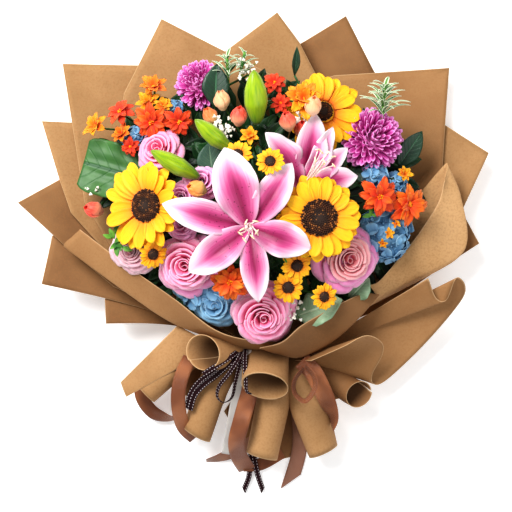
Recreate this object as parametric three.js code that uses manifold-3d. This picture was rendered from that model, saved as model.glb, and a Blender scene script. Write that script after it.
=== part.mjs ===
// Mixed bouquet of silk and foam flowers in a kraft-paper wrapper with ribbons, lying on its back.
// Millimetres, +Z up. The origin is on the table, under the middle of the bouquet.
// +Y runs from the tie to the tips of the wrapper, and the flowers face up.

import * as THREE from 'three';
import { mergeVertices } from 'three/addons/utils/BufferGeometryUtils.js';
import Module from 'manifold-3d';

const wasm = await Module();
wasm.setup();

// Driving dimensions

const PAPER = 0.9; // thickness of a kraft sheet
const LAYER = 1.4; // step from one back sheet to the next at the tie
const FAN = 0.006; // how much wider that step gets for each millimetre away from the tie, in parts of itself
const SATIN = 0.8; // thickness of a ribbon
const PETAL = 0.8; // thickness of a petal
const LEAF = 0.9; // thickness of a leaf
const CLEARANCE = 0.36; // room that a piece leaves to the one beside it
const TIE = new THREE.Vector3(15, -106, 31); // middle of the tie
const BAND = { halfWidth: 32, halfHeight: 30.5, wall: 1.2, length: 10 }; // the binding round the necks
const SATIN_WIDTH = 18; // width of the brown ribbon
const STITCHED_WIDTH = 7;
const WHITE_WIDTH = 11;
const STEM_RADIUS = 2.3;
const STALK_RADIUS = 1.3;
const BUNDLE = { radius: 13, lobes: 6, top: 16, bottom: 30, height: 38 };

// Colours, as the parts show them in daylight

const KRAFT = '#c4966a';
const KRAFT_SHADE = '#9c7145';
const SATIN_BROWN = '#96553a';
const STITCHED_DARK = '#2d0f16';
const RIBBON_WHITE = '#d8d2ca';
const GREEN = '#2e5d3a';
const BUD_GREEN = '#86a818';
const LILY_PINK = '#e070b0';
const ANTHER = '#b8862a';
const SUN_YELLOW = '#ffc80a';
const DISC_BROWN = '#3a1f10';
const ROSE_PINK = '#f284b6';
const PEONY_PINK = '#f0b4c4';
const MAUVE = '#d58cc0';
const BLUE = '#78aad2';
const PURPLE = '#b04cac';
const ORANGE = '#f8700e';

// Small tools for points, grids and closed bodies

const point = (x, y, z) => new THREE.Vector3(x, y, z);
const points = (list) => list.map(([x, y, z]) => point(x, y, z));
const radians = THREE.MathUtils.degToRad;

// Points along a smooth curve through the given ones
function along(list, count) {
  const curve = new THREE.CatmullRomCurve3(list, false, 'centripetal');
  return Array.from({ length: count }, (_, i) => curve.getPoint(i / (count - 1)));
}

// A sheet of even thickness over a grid of points, closed all round. Both faces are split alike.
function shell(rows, thickness) {
  const last = rows.length - 1;
  const across = rows[0].length;
  const vertices = [];
  const faces = [];
  rows.forEach((row, i) => {
    row.forEach((place, j) => {
      const forward = rows[Math.min(i + 1, last)][j].clone().sub(rows[Math.max(i - 1, 0)][j]);
      const sideways = row[Math.min(j + 1, across - 1)].clone().sub(row[Math.max(j - 1, 0)]);
      const half = forward.cross(sideways).normalize().multiplyScalar(thickness / 2);
      vertices.push(...place.clone().add(half).toArray());
      vertices.push(...place.clone().sub(half).toArray());
    });
  });
  const top = (i, j) => 2 * (i * across + j);
  const under = (i, j) => top(i, j) + 1;
  const wall = (i0, j0, i1, j1) => {
    faces.push(top(i0, j0), under(i0, j0), top(i1, j1));
    faces.push(top(i1, j1), under(i0, j0), under(i1, j1));
  };
  for (let i = 0; i < last; i += 1) {
    for (let j = 0; j < across - 1; j += 1) {
      faces.push(top(i, j), top(i + 1, j), top(i, j + 1));
      faces.push(top(i, j + 1), top(i + 1, j), top(i + 1, j + 1));
      faces.push(under(i, j), under(i, j + 1), under(i + 1, j));
      faces.push(under(i, j + 1), under(i + 1, j + 1), under(i + 1, j));
    }
    wall(i, 0, i + 1, 0);
    wall(i + 1, across - 1, i, across - 1);
  }
  for (let j = 0; j < across - 1; j += 1) {
    wall(0, j + 1, 0, j);
    wall(last, j, last, j + 1);
  }
  return closed(vertices, faces);
}

// A body from its corners and its triangles
function closed(vertices, faces) {
  const geometry = new THREE.BufferGeometry();
  geometry.setAttribute('position', new THREE.Float32BufferAttribute(vertices, 3));
  geometry.setIndex(faces);
  return geometry;
}

// Only the positions and the triangles, with shared corners merged
function bare(geometry) {
  const copy = geometry.clone();
  copy.deleteAttribute('normal');
  copy.deleteAttribute('uv');
  return mergeVertices(copy, 1e-3);
}

function solid(geometry) {
  const mesh = bare(geometry);
  return new wasm.Manifold(new wasm.Mesh({
    numProp: 3,
    vertProperties: new Float32Array(mesh.attributes.position.array),
    triVerts: new Uint32Array(mesh.index.array),
  }));
}

const fuse = (solids) => solids.reduce((sum, item) => sum.add(item));

function geometryOf(body) {
  const mesh = body.getMesh();
  const geometry = new THREE.BufferGeometry();
  geometry.setAttribute('position', new THREE.BufferAttribute(mesh.vertProperties, 3));
  geometry.setIndex(new THREE.BufferAttribute(mesh.triVerts, 1));
  return geometry;
}

// The same piece with each face moved out by a distance, for cutting room beside it
function grown(geometry, distance) {
  const mesh = bare(geometry);
  const places = mesh.attributes.position;
  const corners = mesh.index.array;
  const normals = Array.from({ length: places.count }, () => []);
  const triangle = new THREE.Triangle();
  for (let i = 0; i < corners.length; i += 3) {
    triangle.setFromAttributeAndIndices(places, corners[i], corners[i + 1], corners[i + 2]);
    const normal = triangle.getNormal(point(0, 0, 0));
    for (let k = 0; k < 3; k += 1) normals[corners[i + k]].push(normal);
  }
  normals.forEach((list, i) => {
    const mean = list.reduce((sum, normal) => sum.add(normal), point(0, 0, 0)).normalize();
    const least = Math.min(...list.map((normal) => mean.dot(normal)));
    const step = distance / Math.max(least, 0.35);
    places.setXYZ(i, places.getX(i) + mean.x * step, places.getY(i) + mean.y * step, places.getZ(i) + mean.z * step);
  });
  return mesh;
}

// A round bar along a curve
function bar(list, radius, sides = 5, steps = 5) {
  const outline = new THREE.Shape();
  for (let i = 0; i < sides; i += 1) {
    const turn = (2 * Math.PI * i) / sides;
    if (i === 0) outline.moveTo(radius, 0);
    else outline.lineTo(radius * Math.cos(turn), radius * Math.sin(turn));
  }
  const extrudePath = new THREE.CatmullRomCurve3(list, false, 'centripetal');
  return new THREE.ExtrudeGeometry(outline, { extrudePath, steps });
}

// A small round body, such as a core or a bud, by its half-lengths
function egg(half, sides = 8, rings = 5) {
  return new THREE.SphereGeometry(1, sides, rings).rotateX(Math.PI / 2).scale(...half);
}

// Where a bloom sits and faces. Its own +Z is its face and its +Y the side that a spin of 0 shows at the top.
function placing({ at, tilt = [0, 0], spin = 0 }) {
  const face = point(tilt[0], tilt[1], 1).normalize();
  const up = point(0, 1, 0).addScaledVector(face, -face.y).normalize();
  const side = up.clone().cross(face);
  const matrix = new THREE.Matrix4().makeBasis(side, up, face).setPosition(...at);
  return matrix.multiply(new THREE.Matrix4().makeRotationZ(radians(spin)));
}

const moved = (pieces, matrix) => pieces.map((piece) => piece.clone().applyMatrix4(matrix));

// A petal or leaf along +Y. It rises at the angle lift, bends back by curl, and its sides rise by cup.
function blade({ length, widths, lift = 0, curl = 0, cup = 0, start = 0, drop = 0, across = 1, thickness = PETAL }) {
  const steps = widths.length - 1;
  const rows = [];
  let y = start;
  let z = drop;
  widths.forEach((width, i) => {
    if (i > 0) {
      const rise = radians(lift - (curl * (i - 0.5)) / steps);
      y += (length / steps) * Math.cos(rise);
      z += (length / steps) * Math.sin(rise);
    }
    rows.push(Array.from({ length: across + 1 }, (_, j) => {
      const side = (2 * j) / across - 1;
      return point((side * width) / 2, y, z + Math.abs(side) * cup * width);
    }));
  });
  return shell(rows, thickness);
}

// Copies of a piece round +Z
function round(piece, count, phase = 0) {
  return Array.from({ length: count }, (_, i) => piece.clone().rotateZ(radians(phase + (360 * i) / count)));
}

// Nodes. Each one is fused from its pieces and gives way to all that were added before it.

const bouquet = new THREE.Group();
const settled = [];

const meets = (a, b) => a.min.every((low, i) => low <= b.max[i]) && b.min.every((low, i) => low <= a.max[i]);

function addNode(name, pieces, { colour, roughness = 0.7 }) {
  let body = fuse(pieces.map(solid));
  const box = body.boundingBox();
  for (const other of settled) {
    if (meets(box, other.box) && body.intersect(other.room).volume() > 1e-4) body = body.subtract(other.room);
  }
  const [largest] = body.decompose().sort((a, b) => b.volume() - a.volume());
  const room = fuse([largest, ...pieces.map((piece) => solid(grown(piece, CLEARANCE)))]);
  settled.push({ room, box: room.boundingBox() });
  const mesh = new THREE.Mesh(geometryOf(largest), new THREE.MeshStandardMaterial({
    color: colour,
    roughness,
    metalness: 0,
    side: THREE.DoubleSide,
    flatShading: true,
  }));
  mesh.name = name;
  bouquet.add(mesh);
}

// The binding band: a ring that is flat below, round the stems and the necks of all the sheets

function ovalOutline(halfWidth, halfHeight) {
  const outline = new THREE.Path();
  outline.absellipse(0, 0, halfWidth, halfHeight, 0, 2 * Math.PI);
  return outline.getPoints(9).slice(0, -1);
}

function bindingBand() {
  const { halfWidth, halfHeight, wall, length } = BAND;
  const outline = new THREE.Shape(ovalOutline(halfWidth, halfHeight));
  outline.holes.push(new THREE.Path(ovalOutline(halfWidth - wall, halfHeight - wall)));
  const band = new THREE.ExtrudeGeometry(outline, { depth: length, bevelEnabled: false });
  return band.rotateX(Math.PI / 2).translate(TIE.x, TIE.y + length / 2, TIE.z);
}

addNode('binding_band', [bindingBand()], { colour: SATIN_BROWN });

// Paper. Height of the inside of the band's floor at a distance from its middle.
function floorOfBand(x, rise) {
  const width = BAND.halfWidth - BAND.wall - rise;
  const height = BAND.halfHeight - BAND.wall - rise;
  return TIE.z - height * Math.sqrt(Math.max(1 - (x / width) ** 2, 0.02));
}

// How far a back sheet lifts off the table: flat in the middle, rising like a trough to both sides
function trough(x, y) {
  const dx = x - TIE.x;
  const dy = y - TIE.y;
  const reach = Math.hypot(dx, dy);
  const turn = Math.abs(Math.atan2(dx, dy));
  const steep = THREE.MathUtils.clamp((turn - 0.42) / 0.95, 0, 1.3);
  return 0.24 * reach * steep ** 1.6;
}

// A sheet behind the flowers. Its lines run from its neck in the tie to the points of its outer edge, and
// belly bows the last line up.
function backSheet(edge, layer, { neck = [-14, 14], from: start = TIE.y + 1, rows = 3, belly = 0 } = {}) {
  const rise = 2.2 + layer * LAYER;
  const grid = [];
  for (let i = 0; i <= rows; i += 1) {
    const t = (i / rows) ** 0.8;
    grid.push(edge.map(([x, y], j) => {
      const share = j / (edge.length - 1);
      const from = THREE.MathUtils.lerp(neck[0], neck[1], share);
      const px = THREE.MathUtils.lerp(TIE.x + from, x, t);
      const py = THREE.MathUtils.lerp(start, y, t) + belly * share * Math.sin(Math.PI * t);
      const open = THREE.MathUtils.smoothstep(t, 0, 0.3);
      const reach = Math.hypot(px - TIE.x, py - TIE.y);
      const low = PAPER / 2 + layer * LAYER * (1 + FAN * reach) + trough(px, py);
      return point(px, py, THREE.MathUtils.lerp(floorOfBand(from, rise), low, open));
    }));
  }
  return shell(grid, PAPER);
}

// A sheet through three curves: its free edge, its fold and its neck in the tie
function collar(edge, fold, neck, { rows = 7 } = {}) {
  const curves = [edge, fold, neck].map((list) => along(points(list), rows));
  const grid = curves[0].map((_, i) => {
    const [free, bend, low] = curves.map((curve) => curve[i]);
    return [free, free.clone().lerp(bend, 0.5), bend, bend.clone().lerp(low, 0.5), low];
  });
  return shell(grid, PAPER);
}

// A rolled stretch of paper below the tie. It grows from a narrow neck to an open round mouth.
function roll({ neck, neckWidth = 12, mouth, axis, radius, from = -70, to = 250, flare = 0.6, squash = 1, flap = 0, rows = 3, sides = 9 }) {
  const forward = point(...axis).normalize();
  const up = point(0, 0, 1);
  if (Math.abs(forward.z) > 0.8) up.set(-forward.x, 0.6, 0);
  const over = up.addScaledVector(forward, -up.dot(forward)).normalize();
  const side = forward.clone().cross(over);
  const grid = [];
  for (let i = 0; i <= rows; i += 1) {
    const t = i / rows;
    const centre = point(...neck).lerp(point(...mouth), t);
    const open = THREE.MathUtils.smootherstep(t, -0.1, flare);
    const row = [];
    for (let j = 0; j <= sides; j += 1) {
      const turn = radians(THREE.MathUtils.lerp(from, to, j / sides));
      const ring = point(0, 0, 0);
      ring.addScaledVector(side, radius * Math.cos(turn)).addScaledVector(over, radius * squash * Math.sin(turn));
      const strip = side.clone().multiplyScalar((0.5 - j / sides) * neckWidth);
      row.push(centre.clone().add(strip.lerp(ring, open)));
    }
    if (flap > 0) {
      const outward = row[sides].clone().sub(row[sides - 1]).normalize();
      row.push(row[sides].clone().addScaledVector(outward, flap * open));
    }
    grid.push(row);
  }
  return shell(grid, PAPER);
}

// Front collars

addNode('front_wrap', [collar(
  [[122, -40, 82], [104, -46, 98], [76, -60, 109], [50, -75, 113], [30, -92, 112], [6, -99, 105]],
  [[139, -42, 74], [118, -66, 82], [93, -90, 82], [70, -104, 78], [48, -112, 72], [22, -107, 68]],
  [[40, -99, 46], [36, -99, 50], [32, -99, 53], [28, -99, 55], [23, -99, 57], [18, -99, 58]],
)], { colour: KRAFT_SHADE });

addNode('collar_left', [collar(
  [[-190, 29, 76], [-134, -13, 86], [-85, -47, 96], [-41, -80, 101], [0, -91, 98], [34, -87, 92]],
  [[-212, 10, 64], [-140, -42, 68], [-98, -70, 70], [-60, -86, 68], [-18, -101, 64], [26, -104, 62]],
  [[-14, -99, 36], [-12, -99, 40], [-9, -99, 43], [-5, -99, 46], [0, -99, 50], [6, -99, 53]],
  { rows: 8 },
)], { colour: KRAFT });

addNode('collar_right', [collar(
  [[209, 82, 66], [202, 58, 66], [182, 27, 70], [161, 1, 76], [138, -26, 78], [126, -32, 78]],
  [[214, 106, 52], [232, 66, 54], [238, 8, 56], [190, -20, 60], [150, -38, 62], [136, -46, 62]],
  [[43, -100, 24], [43, -100, 27], [44, -100, 30], [44, -100, 33], [43, -100, 37], [43, -100, 41]],
  { rows: 8 },
)], { colour: KRAFT });

// Skirt below the tie: short flutes that open towards the viewer, then long rolls that lie behind them

addNode('flute_centre', [roll({
  neck: [14, -111.9, 58], mouth: [12, -141, 88], axis: [0, -0.8, 0.6], radius: 26, from: -70, to: 256, flare: 0.9, sides: 10,
  rows: 2,
})], { colour: KRAFT });

addNode('flute_left', [roll({
  neck: [-9, -112.2, 47], mouth: [-55, -109, 86], axis: [-0.42, -0.12, 0.9], radius: 19.5, from: -150, to: 190, flare: 0.9,
  sides: 10, rows: 2,
})], { colour: KRAFT });

// The right sheet of the skirt curls over as a flute, turns back and sweeps out to a second flute
function rightSkirt() {
  const edge = along(points([
    [62, -114, 84], [96, -98, 98], [121, -86, 96], [139, -94, 80], [141, -108, 66], [131, -130, 52],
    [133, -142, 40], [148, -138, 34], [190, -98, 36], [228, -52, 44], [233, -33, 56], [222, -24, 68],
    [212, -48, 62], [200, -46, 66], [190, -24, 78],
  ]), 18);
  const neck = along(points([[45, -115, 54], [48, -114, 44], [49, -113, 36], [49, -113, 28], [48, -113, 20]]), 18);
  return shell([0, 0.5, 1].map((t) => edge.map((tip, i) => neck[i].clone().lerp(tip, t))), PAPER);
}

addNode('skirt_right', [rightSkirt()], { colour: KRAFT });

addNode('flute_right_low', [roll({
  neck: [48, -115, 16], mouth: [116, -152, 48], axis: [0.66, -0.5, 0.5], radius: 16, from: -60, to: 250, flare: 0.95,
  rows: 2,
})], { colour: KRAFT_SHADE });

addNode('roll_centre', [roll({
  neck: [14, -112.4, 12.4], mouth: [10, -223.6, 27.6], axis: [-0.12, -0.99, -0.08], radius: 19.8, from: -68, to: 236,
  flare: 0.55, sides: 8,
})], { colour: KRAFT });

addNode('roll_down_left', [roll({
  neck: [-4, -113, 14], mouth: [-59, -200, 26], axis: [-0.4, -0.9, -0.14], radius: 20.5, from: -65, to: 235, flare: 0.6,
})], { colour: KRAFT });

addNode('roll_down_right', [roll({
  neck: [32, -113, 12], mouth: [78, -215, 25], axis: [0.32, -0.94, -0.12], radius: 20.5, from: -60, to: 240, flare: 0.66,
})], { colour: KRAFT });

addNode('roll_left', [roll({
  neck: [-18, -112, 26], mouth: [-112, -152, 36], axis: [-0.74, -0.66, -0.1], radius: 18, from: -60, to: 190, flare: 0.6,
  flap: 24, sides: 8,
})], { colour: KRAFT });

addNode('skirt_back', [shell([0, 0.5, 1].map((t) => [
  [-34, -176], [-12, -214], [16, -234], [44, -227], [62, -190],
].map(([x, y], j) => {
  const from = THREE.MathUtils.lerp(-8, 8, j / 4);
  return point(THREE.MathUtils.lerp(TIE.x + from, x, t), THREE.MathUtils.lerp(TIE.y - 5.6, y, t), PAPER / 2 + 0.3);
})), PAPER)], { colour: KRAFT_SHADE });

// Back sheets, from the one on the table up. The two lowest at the left begin just above the band.

const ABOVE_BAND = TIE.y + BAND.length / 2 + 0.7;
const BACK_SHEETS = [
  ['sheet_back_top_right', 0, [[-70, 110], [-28, 190], [50, 239], [104, 272], [135, 211], [176, 140]], {}],
  ['sheet_right_low', 1, [[200, 90], [232, 50], [250, 14], [192, -24], [144, -58]], { neck: [12, 20] }],
  ['sheet_right_mid', 2, [[150, 180], [213, 148], [262, 115], [232, 51], [186, -14]], { neck: [8, 19] }],
  ['sheet_back_right', 3.4, [[44, 188], [90, 203], [219, 211], [214, 147], [209, 79], [164, 4]], { neck: [-6, 18] }],
  ['sheet_back_top', 4.8, [[-70, 176], [-33, 229], [26, 273], [51, 239], [66, 210], [92, 160]], { neck: [-12, 12] }],
  ['sheet_left_lowest', 0, [[-152, -30], [-166, -48], [-164, -75]], { neck: [-18, -20], from: ABOVE_BAND, belly: 9 }],
  ['sheet_left_low', 1.2, [[-200, 36], [-224, 22], [-234, -31]], { neck: [-17, -20], from: ABOVE_BAND, belly: 6 }],
  ['sheet_left_point', 2.8, [[-182, 102], [-217, 85], [-261, 59], [-209, 11], [-156, -34]], { neck: [-14, -19] }],
  ['sheet_left_fold', 4.4, [[-160, 150], [-205, 149], [-236, 150], [-216, 85], [-203, 48], [-164, 4]], { neck: [-9, -18] }],
  ['sheet_back_left', 6.2, [[-24, 208], [-129, 213], [-213, 214], [-202, 146], [-188, 60], [-156, 6]], { neck: [4, -16] }],
  ['sheet_back_top_left', 7.4, [[-152, 112], [-145, 181], [-103, 264], [-36, 230], [24, 200]], { neck: [-13, 8] }],
];
BACK_SHEETS.forEach(([name, layer, edge, options]) => {
  addNode(name, [backSheet(edge, layer, options)], { colour: layer > 2 ? KRAFT : KRAFT_SHADE });
});

// Ribbons. Each point is a place and the turn of the ribbon there, 0 where it lies flat to the viewer.
function ribbon(list, width, steps = 10) {
  const places = along(list.map(([x, y, z]) => point(x, y, z)), steps + 1);
  const turns = along(list.map((item) => point(item[3] ?? 0, 0, 0)), steps + 1);
  const rows = places.map((place, i) => {
    const forward = places[Math.min(i + 1, steps)].clone().sub(places[Math.max(i - 1, 0)]).normalize();
    const side = forward.clone().cross(point(0, 0, 1)).normalize();
    side.applyAxisAngle(forward, radians(turns[i].x)).multiplyScalar(width / 2);
    return [place.clone().sub(side), place.clone().add(side)];
  });
  return shell(rows, SATIN);
}

addNode('ribbon_satin_left', [
  ribbon([[-66, -126, 62, 0], [-80, -136, 60, 0], [-88, -152, 56, 0], [-90, -172, 40, 0], [-88, -194, 22, -10],
    [-70, -216, 8, -10]], SATIN_WIDTH, 7),
], { colour: SATIN_BROWN });

addNode('ribbon_satin_centre', [
  ribbon([[-6, -150, 62, 0], [-13, -170, 52, 0], [-22, -195, 38, 0], [-24, -222, 24, 0], [-12, -246, 10, 10]], SATIN_WIDTH, 6),
  ribbon([[-14, -240, 12, 0], [6, -241, 5, 0], [29, -231, 2.2, 0]], SATIN_WIDTH - 4, 3),
], { colour: SATIN_BROWN });

addNode('ribbon_satin_right', [
  ribbon([[48, -118, 72, 0], [66, -126, 68, 10], [82, -146, 62, 15], [92, -174, 54, 20], [98, -192, 40, 30]], SATIN_WIDTH, 5),
  ribbon([[58, -118, 74, 60], [70, -128, 84, 80], [64, -150, 86, 90], [50, -150, 76, 90], [44, -128, 72, 60]],
    SATIN_WIDTH - 8, 6),
], { colour: SATIN_BROWN });

addNode('ribbon_satin_tail', [
  ribbon([[38, -168, 3, 0], [45, -206, 3, 0], [45, -232, 3, 0], [42, -262, 3, 0]], SATIN_WIDTH - 3, 4),
], { colour: SATIN_BROWN });

addNode('ribbon_white', [
  ribbon([[-7, -116, 76, 0], [-15, -130, 74, 0], [-23, -158, 62, 0], [-33, -197, 46, 0], [-40, -224, 28, 0]], WHITE_WIDTH, 5),
], { colour: RIBBON_WHITE });

addNode('ribbon_stitched', [
  ribbon([[-6, -112, 83, 0], [-20, -122, 81, 0], [-50, -135, 59, 0], [-66, -146, 55, 0], [-72, -164, 51, 0]], STITCHED_WIDTH, 6),
  ribbon([[-10, -115, 83, 0], [-22, -135, 81, 20], [-40, -149, 76, 60], [-38, -161, 76, 90], [-28, -152, 80, 120],
    [-22, -135, 84, 150]], STITCHED_WIDTH - 2, 7),
], { colour: STITCHED_DARK });

addNode('ribbon_stitched_tails', [
  ribbon([[6, -221, 2, 0], [-1, -248, 2, 0], [-9, -272, 2, 0]], STITCHED_WIDTH, 3),
  ribbon([[4, -221, 2, 0], [5, -248, 2, 0], [10, -272, 2, 0]], STITCHED_WIDTH, 3),
], { colour: STITCHED_DARK });

// Blooms

// Stargazer lily: six long petals that bend back, each given by its azimuth, length and greatest width
function lilyPetals(petals, { drop = -26, lift = 34, curl = 62, widths = [0.8, 1, 0.72, 0.08] } = {}) {
  return petals.map(([azimuth, length, width], i) => blade({
    length,
    widths: [3.6, ...widths.map((part) => part * width)],
    start: 5,
    lift,
    curl,
    cup: 0.06,
    drop: drop + (i % 2) * 2.4,
    across: 2,
  }).rotateZ(radians(-azimuth))).concat(egg([7, 7, 5], 8, 4).translate(0, 0, drop));
}

function stamens(length, count, drop) {
  const filament = bar(points([[4, 0, drop], [12, 0, drop + length]]), 1, 3, 1);
  const anther = egg([1.8, 4.5, 1.8], 3, 3).translate(12.3, 0, drop + length);
  const pistil = bar(points([[0, 0, drop], [1.5, 3, drop + length + 8]]), 1.8, 4, 1);
  const base = new THREE.CylinderGeometry(6, 5, 3, 6).rotateX(Math.PI / 2).translate(0, 0, drop);
  return [...round(filament, count), ...round(anther, count), pistil, base];
}

// Sunflower: two rings of pointed petals round a shallow cup, with the disc as a piece of its own
function sunflowerPetals(radius, count) {
  const ring = starHead(radius, count, { notch: 0.52, rise: 0.08, eye: 0.3, boss: 0 }).translate(0, 0, -3.4);
  const inner = ring.clone().scale(0.92, 0.92, 1).translate(0, 0, 2.6).rotateZ(Math.PI / count);
  const cup = new THREE.CylinderGeometry(radius * 0.3, radius * 0.16, 9, 8).rotateX(Math.PI / 2).translate(0, 0, -3.9);
  return [ring, inner, cup];
}

// A seed disc: a low dome with its seeds as rows of bumps
function seedDisc(radius, sectors = 10) {
  const rings = [0.3, 0.62, 0.9, 1];
  const profile = [6, 5.4, 6, 3.8];
  const vertices = [0, 0, 5.8];
  const faces = [];
  rings.forEach((part, i) => {
    for (let j = 0; j < sectors; j += 1) {
      const turn = (2 * Math.PI * (j + (i % 2) / 2)) / sectors;
      const bump = (j % 2 === 0 ? 0.9 : 0) * (i < 3 ? 1 : 0);
      vertices.push(radius * part * Math.cos(turn), radius * part * Math.sin(turn), profile[i] + bump);
    }
  });
  for (let j = 0; j < sectors; j += 1) {
    const turn = (2 * Math.PI * (j + 0.5)) / sectors;
    vertices.push(radius * Math.cos(turn), radius * Math.sin(turn), 1.2);
  }
  vertices.push(0, 0, 1.2);
  const at = (i, j) => 1 + i * sectors + (j % sectors);
  const floor = vertices.length / 3 - 1;
  for (let j = 0; j < sectors; j += 1) {
    faces.push(0, at(0, j), at(0, j + 1));
    for (let i = 0; i < rings.length; i += 1) {
      faces.push(at(i, j), at(i + 1, j), at(i, j + 1));
      faces.push(at(i, j + 1), at(i + 1, j), at(i + 1, j + 1));
    }
    faces.push(floor, at(rings.length, j + 1), at(rings.length, j));
  }
  return closed(vertices, faces);
}

// Rose: open cupped petals outside, upright ones within, and a wound heart
function rosePetals(radius, { rings, heart }) {
  const parts = [];
  rings.forEach(([count, reach, rim, spread, phase]) => {
    for (let k = 0; k < count; k += 1) {
      const middle = radians(phase + (360 * k) / count);
      const rows = (reach === 1 ? [0, 0.5, 1] : [0, 1]).map((t) => [-1, 0, 1].map((side) => {
        const turn = middle + side * radians(spread) * [0.3, 0.9, 0.82][2 * t];
        const r = radius * reach * [0.34, 0.86, 1][2 * t] * (1 + 0.06 * side) * (side && t === 1 ? 0.9 : 1);
        const z = radius * THREE.MathUtils.lerp(-0.6, rim, [0, 0.42, 1][2 * t]) - (side && t === 1 ? radius * 0.05 : 0);
        return point(r * Math.cos(turn), r * Math.sin(turn), z);
      }));
      parts.push(shell(rows, PETAL));
    }
  });
  const turns = 5;
  const wound = [-0.5, heart.rim].map((z) => Array.from({ length: turns + 1 }, (_, i) => {
    const turn = (i / turns) * 2.6 * Math.PI;
    const r = radius * heart.reach * (1 - (0.72 * i) / turns);
    return point(r * Math.cos(turn), r * Math.sin(turn), radius * z);
  }));
  parts.push(shell(wound, PETAL));
  parts.push(egg([radius * 0.5, radius * 0.5, radius * 0.2], 6, 3).translate(0, 0, -radius * 0.55));
  return parts;
}

const ROSE = {
  rings: [[5, 1, -0.08, 44, 0], [3, 0.7, 0.14, 60, 36]],
  heart: { reach: 0.42, rim: 0.26 },
};
const PEONY = {
  rings: [[5, 1, -0.14, 42, 20], [3, 0.76, 0.04, 60, 0]],
  heart: { reach: 0.46, rim: 0.1 },
};

// A four-petalled floret: a star that narrows to its root
function floret(radius, depth) {
  const vertices = [0, 0, -radius * 0.12];
  const faces = [];
  const corners = 8;
  for (let k = 0; k < corners; k += 1) {
    const turn = (2 * Math.PI * k) / corners;
    const r = k % 2 ? radius * 0.56 : radius;
    vertices.push(r * Math.cos(turn), r * Math.sin(turn), 0);
    faces.push(0, k + 1, ((k + 1) % corners) + 1);
    faces.push(corners + 1, ((k + 1) % corners) + 1, k + 1);
  }
  vertices.push(0, 0, -depth);
  return closed(vertices, faces);
}

// Places over the front of a round head, evenly by the golden angle, out to an angle from its middle
function overHead(count, reach) {
  return Array.from({ length: count }, (_, i) => {
    const polar = Math.acos(1 - ((i + 0.5) / count) * (1 - Math.cos(radians(reach))));
    return [polar, i * Math.PI * (3 - Math.sqrt(5))];
  });
}

// How a head's outward direction turns a piece that was made along an axis, and moves it there
function outward(polar, azimuth, half, part, axis) {
  const out = point(Math.sin(polar) * Math.cos(azimuth), Math.sin(polar) * Math.sin(azimuth), Math.cos(polar));
  const place = out.clone().multiply(point(...half)).multiplyScalar(part);
  const turn = new THREE.Quaternion().setFromUnitVectors(axis, out);
  return new THREE.Matrix4().compose(place, turn, point(1, 1, 1));
}

function hydrangea(half, count, size) {
  const parts = [egg(half, 8, 5)];
  overHead(count, 112).forEach(([polar, azimuth], i) => {
    const matrix = outward(polar, azimuth, half, i % 2 ? 1.12 : 1.2, point(0, 0, 1));
    parts.push(floret(size, size * 0.8).rotateZ(azimuth).applyMatrix4(matrix));
  });
  return parts;
}

// A strap petal of a pompon: narrow at its root, broad and thick at its tip
function strap(length, width, depth) {
  const tips = [[-width / 2, length, 0], [0, length, -depth], [width / 2, length, 0], [0, length, depth]];
  return closed([...tips.flat(), 0, 0, 0], [0, 2, 1, 0, 3, 2, 4, 0, 1, 4, 1, 2, 4, 2, 3, 4, 3, 0]);
}

function pompon(radius, depth, count) {
  const half = [radius * 0.62, radius * 0.62, depth * 0.62];
  const petal = strap(radius * 0.56, radius * 0.36, 2.4);
  const parts = [egg(half, 8, 5)];
  overHead(count, 114).forEach(([polar, azimuth]) => {
    parts.push(petal.clone().applyMatrix4(outward(polar, azimuth, half, 0.84, point(0, 1, 0))));
  });
  return parts;
}

// Small heads of the sprays, each a plate of petals with notches between them round a raised eye
function starHead(radius, count, { notch = 0.4, blunt = false, rise = 0.24, eye = 0.26, boss = 0.24 } = {}) {
  const step = (2 * Math.PI) / count;
  const rim = [];
  for (let i = 0; i < count; i += 1) {
    rim.push([notch, (i - 0.5) * step]);
    if (blunt) rim.push([0.95, (i - 0.24) * step], [0.95, (i + 0.24) * step]);
    else rim.push([1, i * step]);
  }
  const perPetal = rim.length / count;
  const vertices = [0, 0, boss * radius];
  const put = (part, turn, z) => vertices.push(radius * part * Math.cos(turn), radius * part * Math.sin(turn), z);
  for (let i = 0; i < count; i += 1) put(eye, (i - 0.5) * step, boss * radius * 0.8);
  rim.forEach(([part, turn]) => put(part, turn, rise * radius * part ** 2));
  rim.forEach(([part, turn]) => put(part, turn, rise * radius * part ** 2 - PETAL));
  vertices.push(0, 0, -PETAL - 0.4);
  const under = 1 + count + 2 * rim.length;
  const eyeAt = (i) => 1 + (i % count);
  const topAt = (k) => 1 + count + (k % rim.length);
  const lowAt = (k) => topAt(k) + rim.length;
  const faces = [];
  for (let i = 0; i < count; i += 1) {
    const first = i * perPetal;
    const last = first + perPetal - 1;
    faces.push(0, eyeAt(i), eyeAt(i + 1));
    for (let k = first; k < last; k += 1) faces.push(eyeAt(i), topAt(k), topAt(k + 1));
    faces.push(eyeAt(i), topAt(last), eyeAt(i + 1));
    faces.push(eyeAt(i + 1), topAt(last), topAt(last + 1));
  }
  rim.forEach((_, k) => {
    faces.push(topAt(k), lowAt(k), topAt(k + 1));
    faces.push(topAt(k + 1), lowAt(k), lowAt(k + 1));
    faces.push(under, lowAt(k + 1), lowAt(k));
  });
  return closed(vertices, faces);
}

const daisy = (radius, count = 6) => [starHead(radius, count)];
const miniSunflower = (radius) => [starHead(radius, 9, { notch: 0.6, rise: 0.1, eye: 0.42, boss: 0.22 })];

const rosebud = (radius) => [
  starHead(radius, 5, { notch: 0.78, blunt: true, rise: 0.85, eye: 0.34, boss: 0.9 }),
  egg([radius * 0.6, radius * 0.6, radius * 0.5], 5, 3).translate(0, 0, -radius * 0.1),
];

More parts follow.
